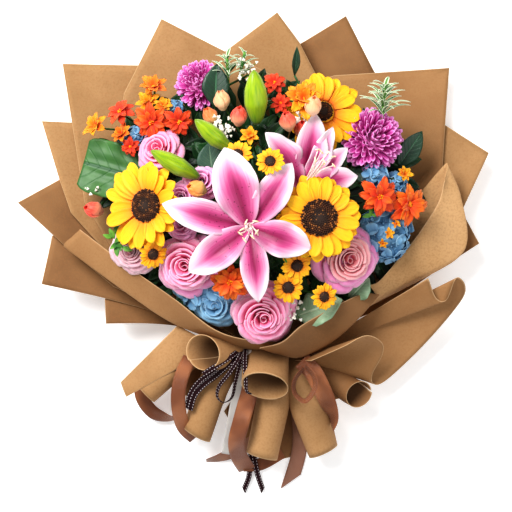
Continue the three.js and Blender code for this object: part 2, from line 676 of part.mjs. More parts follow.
const BIG_BLOOMS = [
  { name: 'lily_centre', seat: 31, colour: LILY_PINK, at: [-4, 29, 186], tilt: [0.02, -0.05],
    shape: () => lilyPetals([[-20, 96, 46], [-72, 104, 36], [-128, 88, 37], [176, 88, 31], [112, 72, 37], [36, 84, 36]]) },
  { name: 'lily_centre_stamens', colour: ANTHER, at: [-4, 29, 186], tilt: [0.02, -0.22], spin: 20,
    shape: () => stamens(36, 6, -20) },
  { name: 'sunflower_right_disc', colour: DISC_BROWN, at: [68, 40, 160], tilt: [0.14, 0], shape: () => [seedDisc(18)] },
  { name: 'sunflower_right', seat: 8.4, colour: SUN_YELLOW, at: [68, 40, 160], tilt: [0.14, 0], shape: () => sunflowerPetals(47, 9) },
  { name: 'sunflower_left_disc', colour: DISC_BROWN, at: [-113, 53, 146], tilt: [-0.62, 0.05], shape: () => [seedDisc(16)] },
  { name: 'sunflower_left', seat: 8.4, colour: SUN_YELLOW, at: [-113, 53, 146], tilt: [-0.62, 0.05], shape: () => sunflowerPetals(43, 8) },
  { name: 'lily_right', seat: 25, colour: LILY_PINK, at: [58, 92, 158], tilt: [0.5, 0.42],
    shape: () => lilyPetals([[-44, 58, 30], [0, 58, 26], [34, 58, 22], [62, 62, 24], [100, 56, 30], [-100, 40, 26]],
      { drop: -20, lift: 40, curl: 40, widths: [1, 0.8, 0.1] }) },
  { name: 'lily_right_stamens', colour: ANTHER, at: [58, 92, 158], tilt: [0.75, 0.1], shape: () => stamens(31, 6, -15) },
  { name: 'rose_front', seat: 24.8, colour: ROSE_PINK, at: [10, -66, 130], tilt: [0.05, -0.35], shape: () => rosePetals(33, ROSE) },
  { name: 'rose_left', seat: 24.4, colour: ROSE_PINK, at: [-74, -11, 132], tilt: [-0.2, -0.15], spin: 30,
    shape: () => rosePetals(32, ROSE) },
  { name: 'peony_right', seat: 24.8, colour: PEONY_PINK, at: [103, -4, 130], tilt: [0.3, -0.1], shape: () => rosePetals(33, PEONY) },
  { name: 'rose_upper_left', seat: 18, colour: ROSE_PINK, at: [-105, 115, 118], tilt: [-0.35, 0.3], spin: 50,
    shape: () => rosePetals(24, ROSE) },
  { name: 'hydrangea_front', seat: 20, colour: BLUE, at: [-46, -44, 97], tilt: [-0.2, -0.3], shape: () => hydrangea([29, 19, 20], 12, 11) },
  { name: 'hydrangea_right', seat: 18, colour: BLUE, at: [142, 26, 84], tilt: [0.3, 0], shape: () => hydrangea([22, 27, 18], 11, 11) },
  { name: 'pompon_left', seat: 15, colour: PURPLE, at: [-58, 186, 80], tilt: [-0.15, 0.25], shape: () => pompon(29, 24, 30) },
  { name: 'pompon_right', seat: 16.2, colour: PURPLE, at: [127, 128, 88], tilt: [0.3, 0.25], shape: () => pompon(33, 26, 32) },
  { name: 'sunflower_top', seat: 8.4, colour: SUN_YELLOW, at: [74, 155, 108], tilt: [0.12, 0.2],
    shape: () => [...sunflowerPetals(43, 8), seedDisc(15).translate(0, 0, -1.8)] },
  { name: 'peony_left', seat: 19.5, colour: PEONY_PINK, at: [-134, 6, 106], tilt: [-0.35, -0.1], shape: () => rosePetals(26, PEONY) },
];
BIG_BLOOMS.forEach(({ name, colour, at, tilt, spin, shape }) => {
  addNode(name, moved(shape(), placing({ at, tilt, spin })), { colour, roughness: 0.55 });
});

// Sprays: small heads on thin stalks that branch off one main stalk below each other
const BRANCH_STEP = 3.6;

function spray(fork, heads) {
  const low = point(fork[0], fork[1], fork[2] - BRANCH_STEP * heads.length);
  return [bar([point(...fork), low], STEM_RADIUS, 4, 1)].concat(heads.flatMap(([shape, at, tilt], i) => {
    const matrix = placing({ at, tilt });
    const root = point(0, 0, -0.6).applyMatrix4(matrix);
    const under = root.clone().add(point(0, 0, -12));
    const branch = point(fork[0], fork[1], fork[2] - BRANCH_STEP * (i + 0.5));
    return [...moved(shape, matrix), bar([root, under, branch], STALK_RADIUS, 3, 2)];
  }));
}

const lilyBud = (length, width) => [egg([width / 2, width / 2, length / 2], 6, 6).translate(0, 0, length / 2 - 2)];

const SPRAYS = [
  { name: 'lily_buds', colour: BUD_GREEN, fork: [-30, 84, 88], heads: [
    [lilyBud(52, 19), [-26, 113, 146], [-1.7, 1.4]],
    [lilyBud(60, 19), [-60, 84, 142], [-2.2, 1.2]],
    [lilyBud(60, 25), [3, 143, 128], [-0.12, 2.0]],
  ] },
  { name: 'spray_front', colour: ORANGE, fork: [22, -28, 84], heads: [
    [daisy(21, 8), [-25, -27, 150], [-0.1, -0.2]],
    [miniSunflower(17), [45, -10, 148], [0.15, -0.1]],
    [miniSunflower(17), [36, -33, 144], [0, -0.2]],
    [miniSunflower(15), [74, -43, 132], [0.3, -0.2]],
  ] },
  { name: 'spray_centre', colour: ORANGE, fork: [4, 104, 98], heads: [
    [miniSunflower(16), [-17, 106, 158], [-0.2, 0.3]],
    [miniSunflower(15), [19, 99, 160], [0.1, 0.2]],
    [daisy(11, 6), [-4, 126, 148], [0, 0.4]],
    [rosebud(9), [-16, 146, 130], [-0.1, 0.5]],
    [rosebud(9), [-34, 164, 116], [-0.2, 0.5]],
    [rosebud(8), [-46, 148, 118], [-0.3, 0.4]],
  ] },
  { name: 'spray_top', colour: ORANGE, fork: [12, 166, 112], heads: [
    [daisy(19, 7), [52, 169, 132], [0.1, 0.3]],
    [daisy(13, 6), [22, 185, 112], [0, 0.4]],
    [daisy(12, 6), [28, 162, 124], [0, 0.3]],
    [rosebud(9), [36, 140, 140], [0.1, 0.3]],
    [rosebud(7), [57, 153, 142], [0.2, 0.3]],
  ] },
  { name: 'spray_left', colour: ORANGE, fork: [-116, 138, 56], heads: [
    [daisy(16, 7), [-108, 181, 92], [-0.2, 0.5]],
    [daisy(13, 6), [-120, 164, 94], [-0.2, 0.4]],
    [daisy(15, 7), [-145, 156, 88], [-0.4, 0.3]],
    [daisy(18, 7), [-110, 144, 104], [-0.2, 0.3]],
    [daisy(14, 6), [-80, 145, 112], [-0.1, 0.3]],
    [daisy(13, 6), [-171, 138, 80], [-0.5, 0.2]],
    [rosebud(10), [-172, 58, 84], [-0.7, 0]],
  ] },
  { name: 'spray_right', colour: ORANGE, fork: [146, 58, 62], heads: [
    [daisy(19, 7), [134, 66, 124], [0.3, 0.1]],
    [daisy(19, 7), [166, 60, 104], [0.5, 0.1]],
    [daisy(10, 6), [162, 88, 92], [0.4, 0.3]],
  ] },
  { name: 'mini_sunflower_left', colour: ORANGE, fork: [-109, -2, 100], heads: [
    [miniSunflower(16), [-107, 2, 138], [0.5, -0.3]],
  ] },
  { name: 'mauve_blossoms', colour: MAUVE, fork: [-66, 52, 84], heads: [
    [daisy(22, 6), [-56, 76, 132], [-0.1, 0.1]],
    [daisy(18, 6), [-76, 62, 132], [-0.2, 0]],
    [daisy(18, 6), [-70, 34, 134], [-0.1, 0]],
  ] },
];
SPRAYS.forEach(({ name, colour, fork, heads }) => {
  addNode(name, spray(fork, heads), { colour, roughness: 0.55 });
});

// Stems and foliage, all one body: the bundle in the tie, a stem to each bloom and fork, and the leaves

function stemBundle() {
  const outline = new THREE.Shape();
  const steps = BUNDLE.lobes * 3;
  for (let i = 0; i < steps; i += 1) {
    const turn = (2 * Math.PI * i) / steps;
    const r = BUNDLE.radius * (i % 3 === 0 ? 0.8 : 1);
    if (i === 0) outline.moveTo(r, 0);
    else outline.lineTo(r * Math.cos(turn), r * Math.sin(turn));
  }
  const length = BUNDLE.top + BUNDLE.bottom;
  const body = new THREE.ExtrudeGeometry(outline, { depth: length, bevelEnabled: false });
  return body.rotateX(Math.PI / 2).translate(TIE.x, TIE.y + BUNDLE.top, BUNDLE.height);
}

// The line of a stem: from a bloom down to the wrapper and along it into the bundle
function stemLine(tip, facing, index, count) {
  const spot = index * Math.PI * (3 - Math.sqrt(5));
  const spread = BUNDLE.radius * 0.84 * Math.sqrt((index + 0.5) / count);
  const root = point(TIE.x + spread * Math.cos(spot), TIE.y + BUNDLE.top - 1.5, BUNDLE.height + spread * Math.sin(spot));
  const under = tip.clone().addScaledVector(facing, -24);
  const low = root.clone().lerp(under, 0.5);
  low.z = Math.max(THREE.MathUtils.lerp(root.z, under.z, 0.34), trough(low.x, low.y) + 16);
  return [tip, under, low, root];
}

const SEAT = 0.4; // how far below its bloom a stem ends
const STEM_BENDS = 3; // straight stretches of a stem

// The corners of a stem as its bar is made
const bends = (line) => new THREE.CatmullRomCurve3(line, false, 'centripetal').getSpacedPoints(STEM_BENDS);

const LEAVES = [
  { at: [-134, 98, 60], tip: [-196, 92, 46], width: 62, roll: 0 },
  { at: [-33, 158, 54], tip: [-38, 206, 60], width: 32, roll: 0 },
  { at: [158, 98, 68], tip: [184, 136, 76], width: 24, roll: 10 },
  { at: [104, 92, 84], tip: [132, 84, 92], width: 14, roll: 0 },
  { at: [44, 196, 84], tip: [47, 226, 96], width: 10, roll: 20 },
  { at: [-46, 92, 100], tip: [-46, 118, 118], width: 18, roll: 0 },
  { at: [46, -62, 80], tip: [98, -44, 92], width: 26, roll: -20 },
  { at: [104, -46, 78], tip: [124, -24, 84], width: 22, roll: -10 },
  { at: [-80, 112, 84], tip: [-72, 142, 88], width: 22, roll: 0 },
];

function leaf({ at, tip, width, roll: turn }) {
  const from = point(...at);
  const forward = point(...tip).sub(from);
  const length = forward.length();
  forward.normalize();
  const side = forward.clone().cross(point(0, 0, 1)).normalize().applyAxisAngle(forward, radians(turn));
  const matrix = new THREE.Matrix4().makeBasis(side, forward, side.clone().cross(forward)).setPosition(from);
  const shape = { widths: [0.14, 1, 0.8, 0.08].map((part) => part * width), thickness: LEAF };
  return blade({ length, ...shape, curl: 10 }).applyMatrix4(matrix);
}

// Sprigs with white-edged narrow blades that fan from one base
const SPIDER_SPRIGS = [
  { at: [142, 172, 84], tilt: [0.2, 0.7], reach: 42, count: 6 },
  { at: [-20, 208, 84], tilt: [0, 0.7], reach: 34, count: 5 },
];

function spiderSprig(reach, count) {
  const narrow = blade({ length: reach, widths: [3.2, 4.4, 1], lift: 34, curl: 46, start: 1.5, drop: -2, thickness: 1 });
  return [...round(narrow, count), egg([5.4, 5.4, 5], 6, 4)];
}

function foliage() {
  const carried = BIG_BLOOMS.filter(({ seat }) => seat);
  const lines = carried.map(({ at, tilt, seat }, i) => {
    const facing = point(tilt[0], tilt[1], 1).normalize();
    return stemLine(point(...at).addScaledVector(facing, -seat - SEAT), facing, i, carried.length);
  });
  const carriers = lines.flatMap((line) => {
    const [, under, low, root] = bends(line);
    return [under, under.clone().lerp(low, 0.5), low, low.clone().lerp(root, 0.4)];
  });
  const stalk = (from, radius = STALK_RADIUS) => {
    const [nearest] = carriers.toSorted((a, b) => a.distanceTo(from) - b.distanceTo(from));
    return bar([from, nearest], radius, 3, 1);
  };
  const parts = [stemBundle(), ...lines.map((line) => bar(line, STEM_RADIUS, 3, STEM_BENDS))];
  SPRAYS.forEach(({ fork, heads }) => {
    parts.push(stalk(point(fork[0], fork[1], fork[2] - BRANCH_STEP * heads.length - SEAT), STEM_RADIUS));
  });
  LEAVES.forEach((item) => {
    parts.push(leaf(item));
    parts.push(stalk(point(...item.at).lerp(point(...item.tip), 0.1)));
  });
  SPIDER_SPRIGS.forEach(({ at, tilt, reach, count }) => {
    parts.push(...moved(spiderSprig(reach, count), placing({ at, tilt })));
    parts.push(stalk(point(...at)));
  });
  return parts;
}

addNode('stems_and_leaves', foliage(), { colour: GREEN });

// The origin goes exactly under the middle of the bouquet
const whole = new THREE.Box3().setFromObject(bouquet);
const middle = whole.getCenter(point(0, 0, 0));
bouquet.children.forEach(({ geometry }) => geometry.translate(-middle.x, -middle.y, -whole.min.z));

export default bouquet;
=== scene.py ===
"""The finished look of the mixed bouquet in kraft paper. Lengths in the tables are millimetres."""

import math
import random

import bpy
import numpy as np
from mathutils import Matrix, Quaternion, Vector, noise


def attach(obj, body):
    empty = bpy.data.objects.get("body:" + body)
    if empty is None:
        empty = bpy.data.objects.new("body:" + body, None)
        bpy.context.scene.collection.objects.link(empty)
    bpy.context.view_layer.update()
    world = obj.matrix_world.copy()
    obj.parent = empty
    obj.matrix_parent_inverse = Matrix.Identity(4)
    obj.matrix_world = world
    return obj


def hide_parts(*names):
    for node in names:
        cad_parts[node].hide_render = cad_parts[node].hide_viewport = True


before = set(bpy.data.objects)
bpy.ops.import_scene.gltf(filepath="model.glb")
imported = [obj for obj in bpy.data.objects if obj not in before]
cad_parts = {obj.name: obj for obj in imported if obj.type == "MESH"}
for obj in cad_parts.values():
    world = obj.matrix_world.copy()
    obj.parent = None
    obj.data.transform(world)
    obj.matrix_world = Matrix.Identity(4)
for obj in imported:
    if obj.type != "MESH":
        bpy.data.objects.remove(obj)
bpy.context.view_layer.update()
bpy.ops.object.select_all(action="DESELECT")
dice = random.Random(23)

MM = 0.001
GOLDEN = math.pi * (3 - math.sqrt(5))


# Camera, light and floor

CAMERA_PLACE = (0.0022, 0, 2.06)
SENSOR_WIDTH, LENS, FAR_END = 36, 127.84, 20
LAMP_AIM = Vector((0, 0, 0.1))
LAMPS = {"key": ((-0.7, 0.85, 1.5), 0.9, 38), "fill": ((0.9, -0.7, 1.6), 1.4, 9)}
SKY_STRENGTH = 0.36
FLOOR_SIZE, FLOOR_DROP, FLOOR_GLOW = 6, 0.0004, 0.3


def look_down():
    lens = bpy.data.cameras.new("camera")
    lens.sensor_width = SENSOR_WIDTH
    lens.lens = LENS
    lens.clip_end = FAR_END
    camera = bpy.data.objects.new("camera", lens)
    camera.location = CAMERA_PLACE
    bpy.context.collection.objects.link(camera)
    bpy.context.scene.camera = camera


def studio():
    world = bpy.data.worlds.new("studio")
    world.use_nodes = True
    sky = world.node_tree.nodes["Background"].inputs
    sky["Color"].default_value = (1, 1, 1, 1)
    sky["Strength"].default_value = SKY_STRENGTH
    bpy.context.scene.world = world
    bpy.context.scene.view_settings.view_transform = "Standard"
    bpy.context.scene.view_settings.look = "Medium High Contrast"
    for name, (place, size, power) in LAMPS.items():
        light = bpy.data.lights.new(name, "AREA")
        light.size = size
        light.energy = power
        holder = bpy.data.objects.new(name, light)
        holder.location = place
        holder.rotation_euler = (LAMP_AIM - Vector(place)).to_track_quat("-Z", "Y").to_euler()
        bpy.context.collection.objects.link(holder)


def floor():
    bpy.ops.mesh.primitive_plane_add(size=FLOOR_SIZE, location=(0, 0, -FLOOR_DROP))
    ground = bpy.context.object
    ground.name = "floor"
    finish = Finish("floor_white", 0.9, Emission_Color=(1, 1, 1, 1), Emission_Strength=FLOOR_GLOW)
    cloud = finish.grain(finish.place(), 3, 1)
    shade = finish.mix(cloud, (0.94, 0.94, 0.94, 1), (0.95, 0.95, 0.95, 1))
    ground.data.materials.append(finish.paint(shade))


# Shader maths


def tint(red, green, blue):
    """A colour as a screen shows it, turned to the linear one that a shader takes."""
    parts = []
    for value in (red, green, blue):
        value /= 255
        parts.append(value / 12.92 if value <= 0.04045 else ((value + 0.055) / 1.055) ** 2.4)
    return (*parts, 1.0)


def feed(tree, value, slot):
    """Links a wire to a slot, or sets the slot. Three whole numbers are a colour as a screen shows it."""
    if isinstance(value, Wire):
        tree.links.new(value.socket, slot)
    elif slot.type == "RGBA" and len(value) == 3:
        slot.default_value = tint(*value)
    else:
        slot.default_value = value


class Wire:
    """A socket of a material that adds Math nodes where it is used in an expression."""

    def __init__(self, tree, socket):
        self.tree = tree
        self.socket = socket

    def math(self, operation, *items):
        node = self.tree.nodes.new("ShaderNodeMath")
        node.operation = operation
        for slot, item in zip(node.inputs, items):
            feed(self.tree, item, slot)
        return Wire(self.tree, node.outputs[0])

    def __add__(self, other):
        return self.math("ADD", self, other)

    __radd__ = __add__

    def __sub__(self, other):
        return self.math("SUBTRACT", self, other)

    def __rsub__(self, other):
        return self.math("SUBTRACT", other, self)

    def __mul__(self, other):
        return self.math("MULTIPLY", self, other)

    __rmul__ = __mul__

    def __truediv__(self, other):
        return self.math("DIVIDE", self, other)

    def __abs__(self):
        return self.math("ABSOLUTE", self)

    def part(self):
        return self.math("FRACT", self)

    def wave(self):
        return self.math("SINE", self)

    def over(self, low, high):
        """0 below low, 1 above high, and smooth between them."""
        node = self.tree.nodes.new("ShaderNodeMapRange")
        node.interpolation_type = "SMOOTHSTEP"
        self.tree.links.new(self.socket, node.inputs["Value"])
        node.inputs["From Min"].default_value = low
        node.inputs["From Max"].default_value = high
        return Wire(self.tree, node.outputs["Result"])


class Finish:
    """A material under construction."""

    def __init__(self, name, roughness=0.6, **constants):
        self.material = bpy.data.materials.new(name)
        self.material.use_nodes = True
        self.tree = self.material.node_tree
        self.shader = self.tree.nodes["Principled BSDF"]
        self.shader.inputs["Roughness"].default_value = roughness
        for socket, value in constants.items():
            self.shader.inputs[socket.replace("_", " ")].default_value = value

    def node(self, kind, settings=None, output=0, **links):
        made = self.tree.nodes.new(kind)
        for key, value in (settings or {}).items():
            setattr(made, key, value)
        for key, value in links.items():
            feed(self.tree, value, made.inputs[key.replace("_", " ")])
        return Wire(self.tree, made.outputs[output])

    def mix(self, amount, first, second, blend="MIX"):
        made = self.tree.nodes.new("ShaderNodeMix")
        made.data_type = "RGBA"
        made.blend_type = blend
        for slot, value in ((0, amount), (6, first), (7, second)):
            feed(self.tree, value, made.inputs[slot])
        return Wire(self.tree, made.outputs[2])

    def ramp(self, value, stops):
        made = self.tree.nodes.new("ShaderNodeValToRGB")
        bar = made.color_ramp.elements
        bar[0].position, bar[1].position = stops[0][0], stops[-1][0]
        bar[0].color, bar[1].color = tint(*stops[0][1]), tint(*stops[-1][1])
        for position, colour in stops[1:-1]:
            bar.new(position).color = tint(*colour)
        self.tree.links.new(value.socket, made.inputs[0])
        return Wire(self.tree, made.outputs[0])

    def across_and_along(self):
        uv = self.node("ShaderNodeUVMap")
        split = self.tree.nodes.new("ShaderNodeSeparateXYZ")
        self.tree.links.new(uv.socket, split.inputs[0])
        return Wire(self.tree, split.outputs[0]), Wire(self.tree, split.outputs[1])

    def place(self):
        return self.node("ShaderNodeTexCoord", output="Object")

    def own(self, name):
        return self.node("ShaderNodeAttribute", {"attribute_name": name}, output="Fac")

    def grain(self, where, scale, detail=3.0):
        return self.node("ShaderNodeTexNoise", Vector=where, Scale=scale, Detail=detail)

    def streaks(self, x, y, z):
        """Noise drawn out along a petal, from its own across, along and tone."""
        return self.grain(self.node("ShaderNodeCombineXYZ", X=x, Y=y, Z=z), 3.0, 4)

    def paint(self, colour, bump=None, depth=0.001):
        self.tree.links.new(colour.socket, self.shader.inputs["Base Color"])
        if bump is not None:
            relief = self.node("ShaderNodeBump", Height=bump, Distance=depth, Strength=0.8)
            self.tree.links.new(relief.socket, self.shader.inputs["Normal"])
        return self.material


# Finishes


def kraft_paper(name, light, dark):
    finish = Finish(name, 0.82)
    place = finish.place()
    speckle = finish.grain(place, 1500, 2)
    cloud = finish.grain(place, 16, 4)
    fibre = finish.grain(place, 420, 5)
    base = finish.mix(cloud.over(0.3, 0.7), dark, light)
    base = finish.mix(fibre.over(0.42, 0.7) * 0.32, base, (150, 104, 60))
    base = finish.mix(speckle.over(0.6, 0.72) * 0.2, base, (130, 84, 44))
    # Pale cut edges: partly the paper's own lighter cut edge, partly a painted highlight along the lip.
    rim = 1 - finish.own("rim").over(0.2, 1.1)
    # Painted shade: inside a roll the paper darkens towards its neck and away from its mouth, and a little on
    # its outside, by deep.
    base = finish.mix(finish.own("deep").over(0.0, 0.36) * 0.84, base, (84, 54, 28))
    base = finish.mix(rim * 0.6, base, (222, 186, 142))
    return finish.paint(base, fibre + speckle * 0.5, 0.0003)


def petal_finish(name, along, streak, vary, shade=(170, 110, 130), middle=None, roughness=0.6, families=None):
    """Colours along a petal, then towards its middle line, with fine lengthwise streaks."""
    finish = Finish(name, roughness, Sheen_Weight=0.15)
    across, length = finish.across_and_along()
    tone = finish.own("tone")
    side = abs(across * 2 - 1)
    colour = finish.ramp(length, along)
    if families:
        family = finish.own("family")
        colour = finish.mix(0.88, colour, finish.ramp(family, families))
        lighter = [(at, (min(255, r + 20), min(255, g + 50), b + 10)) for at, (r, g, b) in families]
        tip = finish.ramp(family, lighter)
        colour = finish.mix(length.over(0.35, 0.95) * 0.7, colour, tip)
    if middle:
        rgb, width, start, end = middle
        line = (1 - side.over(0.0, width)) * length.over(0.0, start) * (1 - length.over(end - 0.35, end))
        colour = finish.mix(line, colour, rgb)
    lines = finish.streaks(across * 9, length * 1.2, tone * 20)
    deep = finish.mix(1.0, colour, shade, "MULTIPLY")
    colour = finish.mix(lines.over(0.35, 0.75) * streak + tone * vary, colour, deep)
    return finish.paint(colour, lines, 0.0004)


def lily_finish():
    """Magenta along the middle, which fades out towards the white edges and tip, with dark spots."""
    finish = Finish("lily_petal", 0.45, Sheen_Weight=0.1)
    across, length = finish.across_and_along()
    tone = finish.own("tone")
    side = abs(across * 2 - 1)
    lines = finish.streaks(across * 8, length * 0.8, tone * 20)
    reach = 1.42 - length * 0.62
    rose = (1 - (side + (lines - 0.5) * 0.4) / reach) * (1 - length.over(0.45, 1.02) * 0.9)
    colour = finish.ramp(rose, [(0.0, (238, 228, 232)), (0.12, (238, 206, 220)), (0.36, (222, 146, 182)),
                                (0.62, (196, 70, 130)), (0.95, (140, 8, 74))])
    where = finish.node("ShaderNodeCombineXYZ", X=across * 9, Y=length * 22, Z=tone * 9)
    dots = finish.node("ShaderNodeTexVoronoi", {"feature": "F1"}, Vector=where, Scale=1.0)
    near = (1 - dots.over(0.14, 0.22)) * (1 - length.over(0.4, 0.6))
    near = near * length.over(0.08, 0.14) * (1 - side.over(0.5, 0.75))
    colour = finish.mix(near * 0.9, colour, (96, 4, 52))
    return finish.paint(colour, lines, 0.0004)


def bud_finish():
    """Pale at the foot of a rosebud's petal and deep at its rim."""
    finish = Finish("bud_petal", 0.5, Sheen_Weight=0.15)
    across, length = finish.across_and_along()
    family = finish.own("family")
    body = finish.ramp(family, [(0.0, (236, 40, 34)), (0.35, (244, 84, 62)), (0.7, (255, 150, 50)),
                                (1.0, (250, 178, 134))])
    pale = finish.ramp(family, [(0.0, (250, 150, 120)), (0.35, (252, 196, 150)), (0.7, (255, 214, 120)),
                                (1.0, (252, 220, 186))])
    colour = finish.mix(length.over(0.15, 0.85), pale, body)
    lines = finish.streaks(across * 7, length, finish.own("tone") * 20)
    colour = finish.mix(lines.over(0.4, 0.75) * 0.25, colour, pale)
    return finish.paint(colour, lines, 0.0003)


def leaf_finish(name, light, dark, vein, count=9, roughness=0.5, edge=None):
    finish = Finish(name, roughness)
    across, length = finish.across_and_along()
    side = abs(across * 2 - 1)
    cloud = finish.grain(finish.place(), 60, 4)
    tone = finish.own("tone")
    colour = finish.mix((cloud * 0.6 + tone * 0.5).over(0.2, 0.9), dark, light)
    ribs = (length * count - side * 2.2).part() - 0.5
    rib = (1 - abs(ribs).over(0.0, 0.12)) * 0.45 * (1 - side.over(0.75, 1.0))
    spine = 1 - side.over(0.03, 0.1)
    mark = rib + spine * 0.8
    colour = finish.mix(mark.over(0.0, 1.0), colour, vein)
    if edge:
        colour = finish.mix(side.over(0.45, 0.7), colour, edge)
    return finish.paint(colour, 1 - mark, 0.0006)


def ribbon_finish(name, light, dark):
    finish = Finish(name, 0.34, Sheen_Weight=0.08, Specular_IOR_Level=0.5)
    across, length = finish.across_and_along()
    cloud = finish.grain(finish.place(), 26, 2)
    weave = (across * 260).wave() * 0.5 + (length * 1400).wave() * 0.5
    colour = finish.mix(cloud.over(0.35, 0.65), dark, light)
    colour = finish.mix(weave.over(-1.0, 1.0) * 0.12, colour, dark)
    return finish.paint(colour, weave, 0.0001)


def stitched_finish():
    """Dark cloth with two rows of pale stitches, 3.4 mm from one stitch to the next."""
    finish = Finish("stitched_ribbon", 0.75, Specular_IOR_Level=0.2)
    across, length = finish.across_and_along()
    run = finish.own("run")
    side = abs(across * 2 - 1)
    dash = abs((run / 3.4).part() - 0.5).over(0.2, 0.24)
    row = (1 - abs(side - 0.66).over(0.05, 0.15)) * (1 - dash)
    weave = (across * 40).wave() * 0.5 + (run * 9).wave() * 0.5
    colour = finish.mix(weave.over(-0.6, 0.8), (24, 5, 9), (46, 12, 18))
    colour = finish.mix(row, colour, (226, 214, 216))
    return finish.paint(colour, weave * 0.3 + row, 0.0004)


def disc_finish():
    finish = Finish("seed_disc", 0.75)
    across, length = finish.across_and_along()
    tone = finish.own("tone")
    ring = finish.ramp(finish.own("family"), [(0.0, (34, 22, 12)), (0.45, (52, 28, 14)), (0.62, (96, 52, 22)),
                                              (0.8, (60, 30, 14)), (1.0, (44, 22, 10))])
    colour = finish.mix(tone.over(0.75, 0.95) * 0.65, ring, (190, 120, 60))
    # Painted shade: each seed and the dome under them darken almost to black towards their feet, between the
    # seeds.
    colour = finish.mix((1 - length.over(0.0, 0.7)) * 0.6, colour, (14, 7, 4))
    return finish.paint(colour, tone, 0.0002)


def plain_finish(name, light, dark, scale):
    finish = Finish(name)
    cloud = finish.grain(finish.place(), scale, 4)
    return finish.paint(finish.mix(cloud.over(0.35, 0.65), dark, light), cloud, 0.0004)


# Painted light and painted shade: one kraft paper in four copies, brightest lit, lit, half shaded and shaded,
# for sheets that face the lamps or lie in shade.
PAPER_LIT = kraft_paper("kraft_painted_lit", (179, 138, 93), (164, 124, 80))
PAPER_BRIGHTEST_LIT = kraft_paper("kraft_painted_brightest_lit", (204, 162, 114), (190, 147, 98))
PAPER_HALF_SHADED = kraft_paper("kraft_painted_half_shade", (168, 126, 82), (152, 110, 68))
PAPER_SHADED = kraft_paper("kraft_painted_shade", (146, 106, 66), (126, 88, 52))
SATIN = ribbon_finish("brown_satin", (170, 106, 64), (126, 70, 38))
SATIN_DUSTY = ribbon_finish("dusty_satin", (164, 118, 94), (140, 94, 72))
WHITE_RIBBON = ribbon_finish("white_ribbon", (226, 222, 216), (206, 200, 194))
STITCHED = stitched_finish()
LILY = lily_finish()
ANTHER = plain_finish("anther", (250, 236, 206), (226, 190, 140), 300)
FILAMENT = plain_finish("filament", (255, 244, 232), (240, 206, 206), 200)
SUNFLOWER = petal_finish(
    "sunflower_petal",
    [(0.0, (226, 110, 0)), (0.16, (250, 160, 0)), (0.5, (255, 190, 0)), (1.0, (255, 204, 0))],
    0.35, 0.3, (255, 200, 90))
DISC = disc_finish()
# In the rose, peony, hydrangea and mauve ramps below, the dark foot is partly the petals' own colour and
# partly painted shade deep in the bloom, and the pale last stop at the rim is partly a painted highlight.
ROSE = petal_finish(
    "rose_petal",
    [(0.0, (220, 40, 110)), (0.35, (250, 104, 160)), (0.7, (255, 152, 192)), (0.93, (255, 176, 208)),
     (1.0, (255, 212, 228))], 0.1, 0.16, (244, 160, 200))
ROSE_OUTER = petal_finish(
    "rose_outer_petal", [(0.0, (190, 56, 130)), (0.4, (236, 124, 184)), (0.93, (248, 166, 210)),
                         (1.0, (250, 196, 222))], 0.12, 0.2, (230, 160, 214))
PEONY = petal_finish(
    "peony_petal",
    [(0.0, (232, 110, 130)), (0.5, (250, 160, 170)), (0.95, (254, 194, 196)), (1.0, (255, 222, 220))],
    0.16, 0.3, (240, 170, 190))
PALE = petal_finish(
    "pale_peony_petal", [(0.0, (220, 130, 160)), (0.5, (242, 176, 192)), (0.95, (250, 210, 218)),
                         (1.0, (255, 232, 234))], 0.16, 0.3, (220, 170, 200))
HYDRANGEA = petal_finish(
    "hydrangea_petal", [(0.0, (56, 100, 136)), (0.5, (110, 160, 196)), (0.95, (144, 190, 218)),
                        (1.0, (186, 214, 230))], 0.2, 0.3, (150, 186, 214))
POMPON = petal_finish(
    "pompon_petal",
    [(0.0, (130, 16, 96)), (0.3, (214, 66, 168)), (0.7, (238, 106, 200)), (1.0, (250, 180, 234))],
    0.2, 0.2, (200, 110, 180), middle=((186, 44, 148), 0.4, 0.2, 1.0))
MAUVE = petal_finish(
    "mauve_petal",
    [(0.0, (220, 96, 170)), (0.4, (244, 156, 210)), (0.95, (252, 184, 226)), (1.0, (255, 216, 238))],
    0.12, 0.16, (236, 180, 220))
DAISY = petal_finish(
    "daisy_petal", [(0.0, (220, 40, 0)), (1.0, (255, 120, 10))], 0.3, 0.14,
    families=[(0.0, (212, 20, 4)), (0.3, (240, 50, 0)), (0.6, (250, 104, 0)), (1.0, (255, 156, 0))])
DAISY_EYE = plain_finish("daisy_eye", (255, 190, 30), (230, 60, 8), 400)
BUD = bud_finish()
LILY_BUD = petal_finish(
    "lily_bud", [(0.0, (110, 150, 20)), (0.4, (156, 186, 14)), (0.85, (168, 194, 24)), (1.0, (130, 160, 10))],
    0.7, 0.1, (150, 200, 80), roughness=0.35)
BROAD_LEAF = leaf_finish("broad_leaf", (74, 124, 58), (36, 82, 36), (40, 88, 44), 5)
DARK_LEAF = leaf_finish("dark_leaf", (38, 84, 52), (16, 42, 30), (60, 108, 76), 8, 0.4)
FILL_LEAF = leaf_finish("fill_leaf", (36, 84, 40), (10, 30, 16), (60, 110, 56), 6)
GREY_LEAF = leaf_finish("grey_leaf", (92, 122, 100), (52, 84, 70), (110, 140, 116), 6)
SAGE_LEAF = leaf_finish("sage_leaf", (170, 196, 160), (116, 150, 116), (190, 212, 180), 8)
SPIDER_LEAF = leaf_finish("spider_leaf", (110, 160, 80), (70, 128, 60), (130, 176, 96), 1, 0.5,
                          (232, 240, 212))
STEM_GREEN = plain_finish("stem_green", (70, 116, 50), (38, 76, 34), 90)
TINY_WHITE = plain_finish("tiny_white", (250, 248, 240), (232, 226, 208), 300)
TINY_GREEN = plain_finish("tiny_green", (110, 170, 60), (52, 112, 40), 120)


